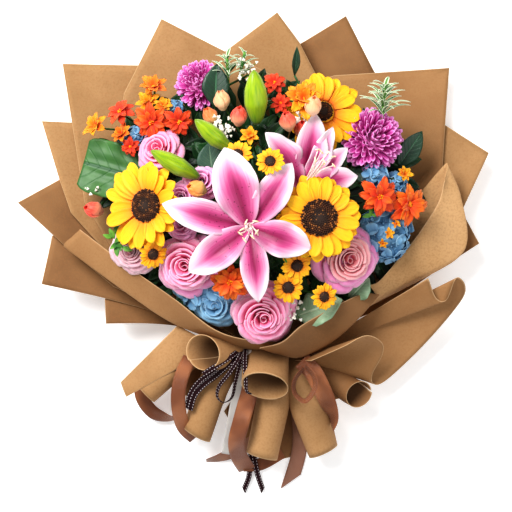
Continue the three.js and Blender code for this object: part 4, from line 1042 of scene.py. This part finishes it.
def rose_petal(radius, rim, spread, opening, depth, scallop, phase):
    """A petal of a rose: upright at opening 0, nearly flat at 1. One side lies over the next, one under."""
    root, skew = 0.3, 0.1

    def place(u, v):
        s = 2 * u - 1
        turn = s * math.radians(spread) * (0.55 + 0.45 * math.sin(math.pi * min(v, 0.6) / 1.2))
        top = 1 - scallop * abs(s) ** 2.4
        rise = v * top
        ruffle = (0.6 * math.sin(6 * s + phase) + 0.4 * math.sin(13 * s + 2 * phase)) * v * v
        lip = ease(0.84, 1, v) * top
        reach = (root + (1 - root) * rise ** (0.62 + 0.38 * opening)) * (1 + skew * s)
        r = radius * (reach + 0.05 * lip + 0.02 * ruffle)
        climb = blend(ease(-0.3, 1.0, rise), rise ** 0.6, opening)
        fall = (0.04 + 0.12 * opening) * lip
        z = radius * (blend(-depth, rim, climb) - fall - skew * 0.8 * s + 0.035 * ruffle)
        return Vector((r * math.cos(turn), r * math.sin(turn), z))

    return grid(16, 12, place, max(radius * 0.012, 0.35))


def rose_heart(radius, reach, rim, turns):
    def place(u, v):
        turn = u * turns * 2 * math.pi
        r = radius * reach * (1 - 0.86 * u ** 0.9) * (0.8 + 0.2 * v) + 0.5
        r += radius * 0.03 * math.sin(turn * 1.5) * v
        z = radius * blend(-0.45, rim + 0.05 * math.sin(turn * 0.8) - 0.1 * u, v)
        return Vector((r * math.cos(turn), r * math.sin(turn), z))

    return grid(72, 6, place, max(radius * 0.012, 0.35))


# A ring of petals: how many, its reach and rim in radii, each one's spread, its phase and opening
ROSE_RINGS = [(6, 1.06, -0.46, 44, 0, 1), (5, 0.9, -0.2, 48, 30, 0.7), (5, 0.74, -0.02, 50, 10, 0.2),
              (4, 0.58, 0.1, 60, 40, 0), (3, 0.43, 0.17, 74, 20, 0), (3, 0.29, 0.2, 78, 70, 0)]
PEONY_RINGS = [(6, 1.08, -0.44, 44, 0, 1), (6, 0.88, -0.24, 44, 30, 0.8), (5, 0.7, -0.08, 52, 10, 0.3),
               (4, 0.54, 0.0, 60, 40, 0), (4, 0.4, 0.04, 60, 10, 0), (3, 0.27, 0.06, 76, 0, 0)]
RUFFLE_RINGS = [(5, 1.05, -0.4, 50, 0, 1), (5, 0.84, -0.14, 52, 36, 0.5), (4, 0.6, 0.04, 62, 12, 0),
                (3, 0.38, 0.12, 76, 0, 0)]


def rose_parts(matrix, radius, rings):
    """The petals of a rose, each with the number of its ring."""
    for index, (count, reach, rim, spread, phase, opening) in enumerate(rings):
        shapes = [rose_petal(radius * reach, rim / reach, spread, opening, 0.6 / reach, 0.16 + 0.16 * opening,
                             2.1 * index + 1.7 * kind) for kind in range(2)]
        for k in range(count):
            size = dice.uniform(0.92, 1.06)
            local = turned(phase + 360 * k / count + dice.uniform(-11, 11), dice.uniform(-5, 5),
                           (size, size, dice.uniform(0.88, 1.12)))
            yield index, part(shapes[k % 2], matrix @ local, dice.random())


def rose(name, radius, rings, inner, outer, slot, spin=0, outer_rings=1, place=None, node=None):
    matrix = seat_of(name, place, spin)
    hearts, skirts = [], []
    for index, made in rose_parts(matrix, radius, rings):
        (skirts if index < outer_rings else hearts).append(made)
    hearts.append(part(rose_heart(radius, 0.18, rings[-1][2] - 0.02, 1.4), matrix, 0.6))
    core = ball(1, 8, 12, (radius * 0.46, radius * 0.46, radius * 0.2))
    skirts.append(part(core, matrix @ raised(-radius * 0.55)))
    piece(name + "_inner_petals", hearts, inner, node or name, slot)
    piece(name + "_outer_petals", skirts, outer, node or name, slot)


def over_head(count, reach):
    """Even places over a round head: the angle from its top, and the azimuth."""
    for i in range(count):
        yield math.acos(1 - ((i + 0.5) / count) * (1 - math.cos(math.radians(reach)))), i * GOLDEN


def outward(polar, azimuth, half, share, spin):
    """A place on a round head, share of the way out, that faces outwards."""
    out = Vector((math.sin(polar) * math.cos(azimuth), math.sin(polar) * math.sin(azimuth), math.cos(polar)))
    spot = Vector([a * b * share for a, b in zip(out, half)])
    turn = UP.rotation_difference(out) @ Quaternion(UP, spin)
    return Matrix.Translation(spot) @ turn.to_matrix().to_4x4()


def hydrangea(name, half, count, size, place=None, node=None):
    matrix = seat_of(name, place)
    shapes = [petal(size, size * 1.15, ROUND_OUTLINE, lift=18, curl=curl, cup=0.1, start=0.6, cells=(6, 6),
                    thickness=0.5, wave=0.5) for curl in (30, 55)]
    eye = ball(1, 4, 6, (1.2, 1.2, 1.2))
    parts = [part(ball(1, 10, 16, [h * 0.96 for h in half]), matrix, 1.0)]
    for i, (polar, azimuth) in enumerate(over_head(count, 116)):
        local = matrix @ outward(polar + dice.uniform(-0.06, 0.06), azimuth, half, dice.uniform(1.0, 1.2),
                                 dice.uniform(0, 6))
        tone = dice.random()
        for k in range(4):
            turn = turned(90 * k + dice.uniform(-8, 8), dice.uniform(-8, 12))
            parts.append(part(shapes[(i + k) % 2], local @ turn, tone))
        parts.append(part(eye, local, 0.2))
    piece(name + "_florets", parts, HYDRANGEA, node or name, "hydrangea")


def pompon(name, radius, depth, count):
    matrix = seat_of(name)
    half = (radius * 0.5, radius * 0.5, depth * 0.5)
    strap = petal(1, 0.34, STRAP_OUTLINE, lift=90, curl=-24, cup=0.32, cells=(4, 7), thickness=0.03)
    parts = [part(ball(1, 10, 16, half), matrix, 1.0)]
    for polar, azimuth in over_head(count, 122):
        length = radius * blend(0.46, 0.54, polar / 2.1) * dice.uniform(0.88, 1.08)
        local = outward(polar + dice.uniform(-0.08, 0.08), azimuth + dice.uniform(-0.1, 0.1), half, 0.86,
                        azimuth - math.pi / 2 + dice.uniform(-0.5, 0.5))
        parts.append(part(strap, matrix @ local @ sized(length * 0.9, length * 0.9, length), dice.random()))
    piece(name + "_straps", parts, POMPON, name, "pompon_petals")


def daisy_petal(lift, curl):
    """A broad petal whose tip has three teeth."""
    outline = table([(0, 0.3), (0.3, 0.66), (0.62, 1), (0.85, 0.86), (1, 0.46)])
    width = 0.5

    def place(u, v):
        s = 2 * u - 1
        along = v * (1 + 0.09 * math.cos(3 * math.pi * s) * v ** 5 - 0.1 * s * s * v ** 3)
        rise = math.radians(lift - curl * along * 0.5)
        out = 0.22 * width * s * s * outline(v) - 0.02 * math.cos(s * math.pi * 2) * v
        return Vector((s * outline(v) * width / 2, 0.05 + along * math.cos(rise) - out * math.sin(rise),
                       along * math.sin(rise) + out * math.cos(rise)))

    return grid(9, 8, place, 0.035)


def bud_petal(size, height):
    """A petal wrapped round the egg of a closed bud."""
    radius = table([(0, 0.3), (0.25, 0.82), (0.5, 1), (0.75, 0.86), (0.9, 0.62), (1, 0.4)])

    def place(u, v):
        s = 2 * u - 1
        turn = s * math.radians(78) * (1 - 0.3 * v)
        r = size * radius(v) * (1 + 0.07 * s)
        z = height * (-0.9 + 2.3 * v * (1 - 0.16 * s * s * v))
        return Vector((r * math.cos(turn), r * math.sin(turn), z))

    return grid(10, 9, place, 0.05)


# Shapes of the small heads, modelled once and scaled where they are used
DAISY_PETALS = [daisy_petal(lift, curl) for lift, curl in ((20, 50), (42, 44), (60, 30))]
MINI_PETAL = petal(0.66, 0.32, MINI_OUTLINE, lift=10, curl=26, cup=0.16, start=0.36, cells=(4, 6),
                   thickness=0.035)
EYE = ball(1, 4, 6)
BUD_PETALS = [bud_petal(1.0, 0.9), bud_petal(0.84, 1.0)]
BUD_HEART = ball(0.7, 8, 10, (1, 1, 1.5))
SEPAL = petal(1.2, 0.6, LEAF_OUTLINE, lift=40, curl=-40, cup=0.1, start=0.1, cells=(4, 5), thickness=0.06)


# Each small head is a function of its place that gives its parts by kind


def daisy(radius, petals, family):
    def head(matrix):
        rays, eyes = [], []
        for ring in range(2):
            shape = DAISY_PETALS[ring if family < 0.5 else (ring + 1) % 3]
            for k in range(petals):
                size = radius * (1 - 0.2 * ring) * dice.uniform(0.86, 1.06)
                turn = 360 * (k + 0.5 * ring) / petals + dice.uniform(-9, 9)
                hue = min(max(family + dice.uniform(-0.12, 0.12) + 0.06 * ring, 0), 1)
                local = turned(turn, dice.uniform(-14, 16), (size * 1.1, size, size), ring * radius * 0.06)
                rays.append(part(shape, matrix @ local, dice.random(), hue))
        for k in range(9):
            spot = Vector((math.cos(k * GOLDEN), math.sin(k * GOLDEN), 0)) * radius * 0.05 * math.sqrt(k)
            spot.z = radius * (0.2 - 0.006 * k)
            local = Matrix.Translation(spot) @ sized(radius * 0.055, radius * 0.055, radius * 0.1)
            eyes.append(part(EYE, matrix @ local))
        return {"daisies": rays, "eyes": eyes}
    return head


def mini(radius):
    def head(matrix):
        rays = []
        for ring in range(2):
            for k in range(11):
                size = radius * (1 - 0.08 * ring) * dice.uniform(0.92, 1.05)
                local = turned(360 * (k + 0.5 * ring) / 11 + dice.uniform(-6, 6), dice.uniform(-4, 10),
                               (size * 1.05, size, size), ring * 0.7)
                rays.append(part(MINI_PETAL, matrix @ local, dice.random()))
        disc = seeds(matrix @ raised(-0.3), radius * 0.42, 60, radius * 0.3)
        return {"minis": rays, "mini_discs": disc}
    return head


def bud(radius, family):
    def head(matrix):
        size = sized(radius, radius, radius * 1.05)
        petals = []
        for ring, shape in enumerate(BUD_PETALS):
            for k in range(3):
                local = matrix @ turned(120 * k + 60 * ring + dice.uniform(-8, 8)) @ size
                petals.append(part(shape, local, dice.random(), family))
        petals.append(part(BUD_HEART, matrix @ size, 0.6, family))
        sepals = [part(SEPAL, matrix @ raised(-radius) @ turned(72 * k, 0, (radius,) * 3)) for k in range(5)]
        return {"buds": petals, "sepals": sepals}
    return head


def ruffle(radius):
    def head(matrix):
        petals = [made for _, made in rose_parts(matrix, radius, RUFFLE_RINGS)]
        petals.append(part(rose_heart(radius, 0.2, 0.1, 1.2), matrix, 0.6))
        return {"mauves": petals}
    return head


HEAD_KINDS = {"daisies": (DAISY, "small_heads"), "eyes": (DAISY_EYE, "small_heads"),
              "minis": (SUNFLOWER, "small_heads"), "mini_discs": (DISC, "small_heads"),
              "buds": (BUD, "small_heads"), "sepals": (TINY_GREEN, "greenery"),
              "mauves": (MAUVE, "mauve_petals"), "stalks": (STEM_GREEN, "greenery")}
RED, FLAME, AMBER, GOLD = 0.06, 0.28, 0.62, 0.95
CORAL, PEACH = 0.2, 0.95
BRANCH_STEP = 3.6
# The fork of each spray, then its heads with their places and how they lean
SPRAYS = {
    "spray_front": ((22, -28, 84), [
        (daisy(21, 9, FLAME + 0.2), (-25, -27, 150), (-0.1, -0.2)), (mini(17), (45, -10, 148), (0.15, -0.1)),
        (mini(17), (36, -33, 144), (0, -0.2)), (mini(15), (74, -43, 132), (0.3, -0.2))]),
    "spray_centre": ((4, 104, 98), [
        (mini(16), (-17, 106, 158), (-0.2, 0.3)), (mini(15), (17, 98, 176), (-0.1, 0.2)),
        (daisy(11, 6, GOLD), (-4, 126, 148), (0, 0.4)), (bud(9, CORAL), (-16, 146, 134), (0.2, 2.0)),
        (bud(9, PEACH), (-34, 164, 120), (-0.3, 2.4)), (bud(8, CORAL + 0.3), (-46, 148, 122), (-0.9, 1.6))]),
    "spray_top": ((12, 166, 112), [
        (daisy(22, 8, GOLD - 0.15), (53, 165, 134), (0.0, 0.3)),
        (daisy(13, 7, RED), (22, 185, 112), (0, 0.4)),
        (daisy(12, 7, RED), (28, 162, 124), (0, 0.3)), (bud(9, CORAL + 0.1), (36, 140, 142), (-0.3, 1.6)),
        (bud(9, PEACH), (62, 156, 144), (0.3, 1.8)), (bud(8, CORAL), (50, 133, 124), (0.3, 1.6))]),
    "spray_left": ((-116, 138, 56), [
        (daisy(17, 7, AMBER), (-108, 181, 92), (-0.2, 0.9)),
        (daisy(14, 7, GOLD), (-114, 165, 94), (-0.2, 0.7)),
        (daisy(13, 7, AMBER), (-142, 131, 96), (-0.5, 0.4)),
        (daisy(11, 7, RED), (-133, 118, 100), (-0.2, -0.2)),
        (daisy(12, 7, GOLD), (-98, 160, 98), (0.2, 0.7)),
        (daisy(17, 7, RED + 0.1), (-144, 155, 92), (-0.5, 0.8)),
        (daisy(20, 8, FLAME), (-110, 144, 106), (-0.1, -0.2)),
        (daisy(17, 7, RED + 0.1), (-80, 144, 112), (0.1, -0.3)),
        (daisy(16, 7, GOLD - 0.1), (-171, 140, 84), (-0.8, 0.5)),
        (bud(9, CORAL), (-172, 50, 86), (-1.6, 0.4))]),
    "spray_right": ((146, 58, 62), [
        (daisy(21, 8, FLAME), (133, 64, 124), (0.3, -0.3)),
        (daisy(22, 8, FLAME + 0.15), (165, 56, 106), (0.7, -0.2)),
        (daisy(10, 7, GOLD), (162, 88, 92), (0.4, 0.3)), (daisy(7, 5, 1.0), (144, 24, 110), (0.3, 0.2)),
        (daisy(6, 5, 1.0), (152, 34, 108), (0.5, 0.4)), (daisy(6, 5, 1.0), (138, 14, 110), (0.0, -0.4))]),
    "mini_sunflower_left": ((-109, -2, 100), [(mini(16), (-107, 2, 138), (0.5, -0.3))]),
    "mauve_blossoms": ((-66, 52, 84), [
        (ruffle(20), (-56, 80, 138), (-0.1, 0.2)), (ruffle(18), (-78, 62, 134), (-0.3, 0)),
        (ruffle(18), (-78, 34, 134), (-0.3, 0)), (bud(9, 0.75), (-58, 70, 152), (-1.6, 0.5))]),
}


def spray(name, fork, heads):
    groups = {}
    low = Vector(fork) - UP * (BRANCH_STEP * len(heads))
    stalks = [part(tube([fork, low.lerp(Vector(fork), 0.5), low], 2.2, 6, 4))]
    for i, (head, at, tilt) in enumerate(heads):
        matrix = placing(at, tilt)
        for kind, parts in head(matrix).items():
            groups.setdefault(kind, []).extend(parts)
        root = matrix @ Vector((0, 0, -0.6))
        under = root - UP * 12
        branch = Vector(fork) - UP * (BRANCH_STEP * (i + 0.5))
        stalks.append(part(tube([root, under, under.lerp(branch, 0.6), branch], 1.2, 5, 12)))
    groups["stalks"] = stalks
    for kind, parts in groups.items():
        material, slot = HEAD_KINDS[kind]
        piece(f"{name}_{kind}", parts, material, name, slot)


BUD_FORK = Vector((-30, 84, 88))
# Length, width, place and lean of each lily bud
LILY_BUDS = [(52, 19, (-26, 113, 146), (-1.7, 1.4)), (60, 19, (-60, 84, 142), (-2.2, 1.2)),
             (60, 25, (3, 143, 128), (-0.12, 2.0))]


def lily_bud(length, width):
    outline = table([(0, 0.3), (0.12, 0.62), (0.4, 1), (0.65, 0.9), (0.85, 0.56), (0.96, 0.24), (1, 0.04)])

    def place(u, v):
        turn = 2 * math.pi * u
        r = (width / 2 * outline(v) * (1 + 0.07 * math.cos(3 * turn))
             * (1 - 0.05 * abs(math.cos(1.5 * turn)) ** 12))
        return Vector((r * math.cos(turn), r * math.sin(turn), length * v - 2))

    return grid(36, 18, place, 0.8)


def lily_buds():
    skins = []
    stalks = [part(tube([BUD_FORK, BUD_FORK - UP * 5, BUD_FORK - UP * 11], 2.2, 6, 4))]
    for i, (length, width, at, tilt) in enumerate(LILY_BUDS):
        matrix = placing(at, tilt)
        skins.append(part(lily_bud(length, width), matrix, dice.random()))
        root = matrix.translation
        branch = BUD_FORK - UP * (BRANCH_STEP * (i + 0.5))
        stalks.append(part(tube([root, root - UP * 14, branch], 1.5, 6, 10)))
    piece("lily_bud_skins", skins, LILY_BUD, "lily_buds", "lily_buds")
    piece("lily_bud_stalks", stalks, STEM_GREEN, "lily_buds", "greenery")


def blooms():
    lily("lily_centre",
         [(-20, 88, 48), (-77, 96, 35), (-127, 80, 38), (173, 80, 30), (111, 68, 38), (35, 81, 35)])
    lily_heart("lily_centre_stamens", ((-4, 29, 186), (0.02, -0.22)), 36, -20, 20)
    lily("lily_right",
         [(-36, 72, 38), (13, 84, 36), (32, 76, 22), (54, 70, 22), (80, 62, 28), (-100, 34, 24)],
         40, 40, -20)
    lily_heart("lily_right_stamens", ((60, 84, 160), (0.7, 0.9)), 44, -15)
    sunflower("sunflower_right", 47, 20, 16, "sunflower_right_disc")
    sunflower("sunflower_left", 49, 18, 14, "sunflower_left_disc", 0.16)
    sunflower("sunflower_top", 45, 11, 13, "sunflower_top")
    rose("rose_front", 33, ROSE_RINGS, ROSE, ROSE, "rose_petals")
    rose("rose_left", 32, ROSE_RINGS, ROSE, ROSE_OUTER, "rose_petals", 30)
    rose("rose_upper_left", 25, RUFFLE_RINGS, ROSE, ROSE, "rose_petals", 50)
    rose("peony_right", 33, PEONY_RINGS, PEONY, ROSE_OUTER, "peony_petals", outer_rings=2)
    rose("peony_left", 26, PEONY_RINGS, PALE, PALE, "peony_petals")
    hydrangea("hydrangea_front", (27, 17, 17), 30, 12)
    for i, (at, size) in enumerate((((-43, -54, 108), 25), ((-72, -36, 98), 17), ((-88, -24, 92), 11))):
        rose(f"hydrangea_ruffle_{i}", size, RUFFLE_RINGS, HYDRANGEA, HYDRANGEA, "hydrangea", 40 * i,
             place=(at, (-0.15, -0.3)), node="hydrangea_front")
    hydrangea("hydrangea_right", (21, 26, 17), 24, 14)
    for i, (at, size) in enumerate((((130, 86, 96), 13), ((154, 78, 84), 12), ((-88, 158, 88), 11),
                                    ((-130, 128, 84), 13))):
        hydrangea(f"blue_florets_{i}", (size * 0.6, size * 0.6, size * 0.5), 9, size * 0.8, (at, (0.1, 0.2)),
                  "hydrangea_right")
    pompon("pompon_left", 30, 24, 160)
    pompon("pompon_right", 37, 28, 190)
    for name, (fork, heads) in SPRAYS.items():
        spray(name, fork, heads)
    lily_buds()


# Greenery

# Where each leaf starts and ends, its roll in degrees, and how much wider it is than the shape
DARK_LEAVES = [((-42, 160, 108), (-40, 206, 112), 0, 1.35), ((158, 98, 68), (184, 136, 76), 10, 1.1),
               ((-80, 112, 84), (-72, 142, 88), 0, 1.3), ((-46, 92, 100), (-46, 118, 118), 0, 1.3),
               ((44, 196, 84), (47, 226, 96), 20, 0.6)]
FILL_COUNT, FILL_REACH, FILL_CENTRE = 400, (160, 118), 62
LIGHT_SPRIGS = [((-146, 16, 118), 15), ((34, 6, 150), 11), ((-28, -18, 150), 9), ((128, 50, 112), 13)]
SPIDER_SPRIGS = [((138, 150, 104), (0.15, 2.4), 0.76, 28), ((-28, 190, 98), (-0.1, 2.2), 0.6, 14),
                 ((-14, 200, 100), (0.5, 2.2), 0.5, 10)]
TINY_SPRIGS = [((-36, 143, 128), 7, 14), ((-29, 132, 132), 6, 12), ((52, 146, 126), 8, 14),
               ((-8, 200, 104), 12, 18), ((-176, 70, 84), 8, 10), ((42, -58, 112), 12, 18),
               ((-28, 142, 116), 8, 8)]
BLADE_STEP = 137.5
BUNDLE_RADIUS, BUNDLE_TOP, BUNDLE_BOTTOM, BUNDLE_HEIGHT = 13, 16, 30, 38
# Places at or near the feet of the leaves and sprigs. A thin stalk joins each to the closest noted point
# of a stem.
LEAF_FEET = [(-134, 98, 60), (-33, 158, 54), (158, 98, 68), (104, 92, 84), (44, 196, 84), (-46, 92, 100),
             (46, -62, 86), (104, -46, 84), (-80, 112, 84), (142, 172, 84), (-20, 208, 84), (-6, 196, 92)]


def green(name, parts, material):
    piece(name, parts, material, "stems_and_leaves", "greenery")


def leaf_between(shape_length, at, tip, roll_by=0.0, wide=1):
    """Where a leaf made along +Y goes so that it runs from at to tip."""
    start = Vector(at)
    forward = (Vector(tip) - start).normalized()
    side = forward.cross(UP).normalized()
    side.rotate(Quaternion(forward, math.radians(roll_by)))
    basis = Matrix((side, forward, side.cross(forward))).transposed().to_4x4()
    size = (Vector(tip) - start).length / shape_length
    return Matrix.Translation(start) @ basis @ sized(size * wide, size, size)


def leaves():
    broad = petal(66, 62, BROAD_OUTLINE, lift=2, curl=10, cup=0.05, cells=(22, 26), thickness=0.8, groove=1.5,
                  wave=2.6, ridges=4)
    green("broad_leaf", [part(broad, leaf_between(66, (-124, 84, 88), (-186, 102, 82)), 0.6)], BROAD_LEAF)
    long = petal(50, 24, LEAF_OUTLINE, lift=4, curl=14, cup=0.06, cells=(8, 14), thickness=0.7, groove=1.2)
    dark = [part(long, leaf_between(50, *row), dice.random()) for row in DARK_LEAVES]
    green("dark_leaves", dark, DARK_LEAF)
    green("grey_leaf", [
        part(long, leaf_between(50, (104, 92, 84), (132, 84, 92), 0, 1.2)),
        part(long, leaf_between(50, (-44, 86, 126), (-48, 120, 132), 0, 1.8), 0.2)], GREY_LEAF)
    sage = petal(50, 25, LEAF_OUTLINE, lift=4, curl=14, cup=0.04, cells=(8, 20), thickness=0.8,
                 groove=0.8, wave=2.6)
    green("sage_leaves", [part(sage, leaf_between(50, (44, -66, 98), (94, -46, 112), -20, 1.4)),
                          part(sage, leaf_between(50, (104, -46, 84), (124, -24, 98), -10, 1.7))], SAGE_LEAF)


def filling():
    """Dark leaves that stand between the blooms and hide the paper behind them, and light sprigs."""
    shape = petal(34, 15, LEAF_OUTLINE, lift=22, curl=40, cup=0.08, cells=(6, 8), thickness=0.5, groove=0.8)
    parts = []
    for i in range(FILL_COUNT):
        share = math.sqrt((i + 0.5) / FILL_COUNT)
        turn = i * GOLDEN
        x = FILL_REACH[0] * share * math.cos(turn)
        y = FILL_CENTRE + FILL_REACH[1] * share * math.sin(turn)
        if y < -75 + abs(x) * 0.45 or (x < -138 and y < 66):
            continue
        z = 104 - 52 * share ** 2 + dice.uniform(-12, 8)
        size = dice.uniform(0.8, 1.25)
        spin = Matrix.Rotation(turn - math.pi / 2 + dice.uniform(-1.3, 1.3), 4, "Z")
        tip = Matrix.Rotation(math.radians(dice.uniform(-14, 34)), 4, "X")
        local = Matrix.Translation((x, y, z)) @ spin @ tip @ sized(size, size, size)
        parts.append(part(shape, local, dice.random()))
    green("filling_leaves", parts, FILL_LEAF)
    sprigs = []
    for at, spread in LIGHT_SPRIGS:
        for k in range(14):
            off = Vector((dice.uniform(-1, 1), dice.uniform(-1, 1), 0)) * spread * 0.5
            size = spread * dice.uniform(0.016, 0.028)
            local = turned(dice.uniform(0, 360), dice.uniform(0, 30), (size,) * 3)
            sprigs.append(part(shape, Matrix.Translation(Vector(at) + off) @ local, dice.random()))
    green("light_sprigs", sprigs, TINY_GREEN)


def spider_sprigs():
    blades = [petal(reach, 4.4, BLADE_OUTLINE, lift=52, curl=64, cup=0.16, start=1, cells=(4, 12),
                    thickness=0.5) for reach in (44, 34, 24)]
    parts, cores = [], []
    for at, tilt, size, count in SPIDER_SPRIGS:
        matrix = placing(at, tilt)
        for k in range(count):
            turn = turned(k * BLADE_STEP, dice.uniform(-10, 14), (size * 1.5, size, size))
            local = matrix @ raised(46 * size * k / count) @ turn
            parts.append(part(blades[k * 3 // count], local, dice.random()))
        cores.append(part(tube([(0, 0, -8), (0, 0, 12), (0, 0, 42 * size)], 1.6, 6, 4), matrix))
    green("spider_blades", parts, SPIDER_LEAF)
    green("spider_cores", cores, TINY_GREEN)


def tiny_sprigs():
    dot = ball(1, 3, 5)
    flowers, stalks = [], []
    for at, spread, count in TINY_SPRIGS:
        foot = Vector(at) - UP * 24
        for k in range(count):
            out = Vector((dice.uniform(-1, 1), dice.uniform(-1, 1), dice.uniform(-0.5, 0.7))) * spread
            tip = Vector(at) + out
            size = dice.uniform(1.1, 1.9)
            for p in range(3):
                offset = Vector((math.cos(p * 2.1 + k), math.sin(p * 2.1 + k), 0.2 * p)) * size * 0.7
                flowers.append(part(dot, Matrix.Translation(tip + offset) @ sized(size, size, size * 0.7)))
            stalks.append(part(tube([foot, foot.lerp(tip, 0.6) + UP * 3, tip], 0.4, 3, 4)))
    green("tiny_flowers", flowers, TINY_WHITE)
    green("tiny_stalks", stalks, TINY_GREEN)


def stems():
    parts, lows = [], []
    for i, (name, (at, tilt, seat)) in enumerate(BLOOMS.items()):
        facing = Vector((tilt[0], tilt[1], 1)).normalized()
        spot = i * GOLDEN
        spread = BUNDLE_RADIUS * 0.84 * math.sqrt((i + 0.5) / len(BLOOMS))
        root = Vector((TIE.x + spread * math.cos(spot), TIE.y + BUNDLE_TOP - 1.5,
                       BUNDLE_HEIGHT + spread * math.sin(spot)))
        tip = Vector(STEM_PLACES.get(name, at)) - facing * (seat - STEM_OVERLAP)
        under = tip - facing * 24
        low = root.lerp(under, 0.5)
        low.z = max(blend(root.z, under.z, 0.34), trough(low.x, low.y) + 16)
        end = Vector((root.x, TIE.y - BUNDLE_BOTTOM + dice.uniform(0, 3), root.z))
        parts.append(part(tube([tip, under, low, root, end], 2.1, 7, 24), STAY, dice.random()))
        lows.extend([under, under.lerp(low, 0.5), low])

    def nearest(spot):
        return min(lows, key=lambda low: (low - spot).length)

    for fork, heads in [(BUD_FORK, LILY_BUDS), *SPRAYS.values()]:
        foot = Vector(fork) - UP * (BRANCH_STEP * len(heads))
        near = nearest(foot)
        parts.append(part(tube([foot + UP * 2, foot.lerp(near, 0.5) - UP * 2, near], 2, 6, 8)))
    for at in LEAF_FEET:
        near = nearest(Vector(at))
        parts.append(part(tube([at, Vector(at).lerp(near, 0.5) - UP * 3, near], 1.3, 5, 8)))
    green("stems", parts, STEM_GREEN)


def dress_band():
    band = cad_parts["binding_band"]
    band.data.materials.clear()
    band.data.materials.append(SATIN)


look_down()
studio()
floor()
wrapper()
for row in RIBBONS:
    ribbon(*row)
blooms()
leaves()
filling()
spider_sprigs()
tiny_sprigs()
stems()
dress_band()
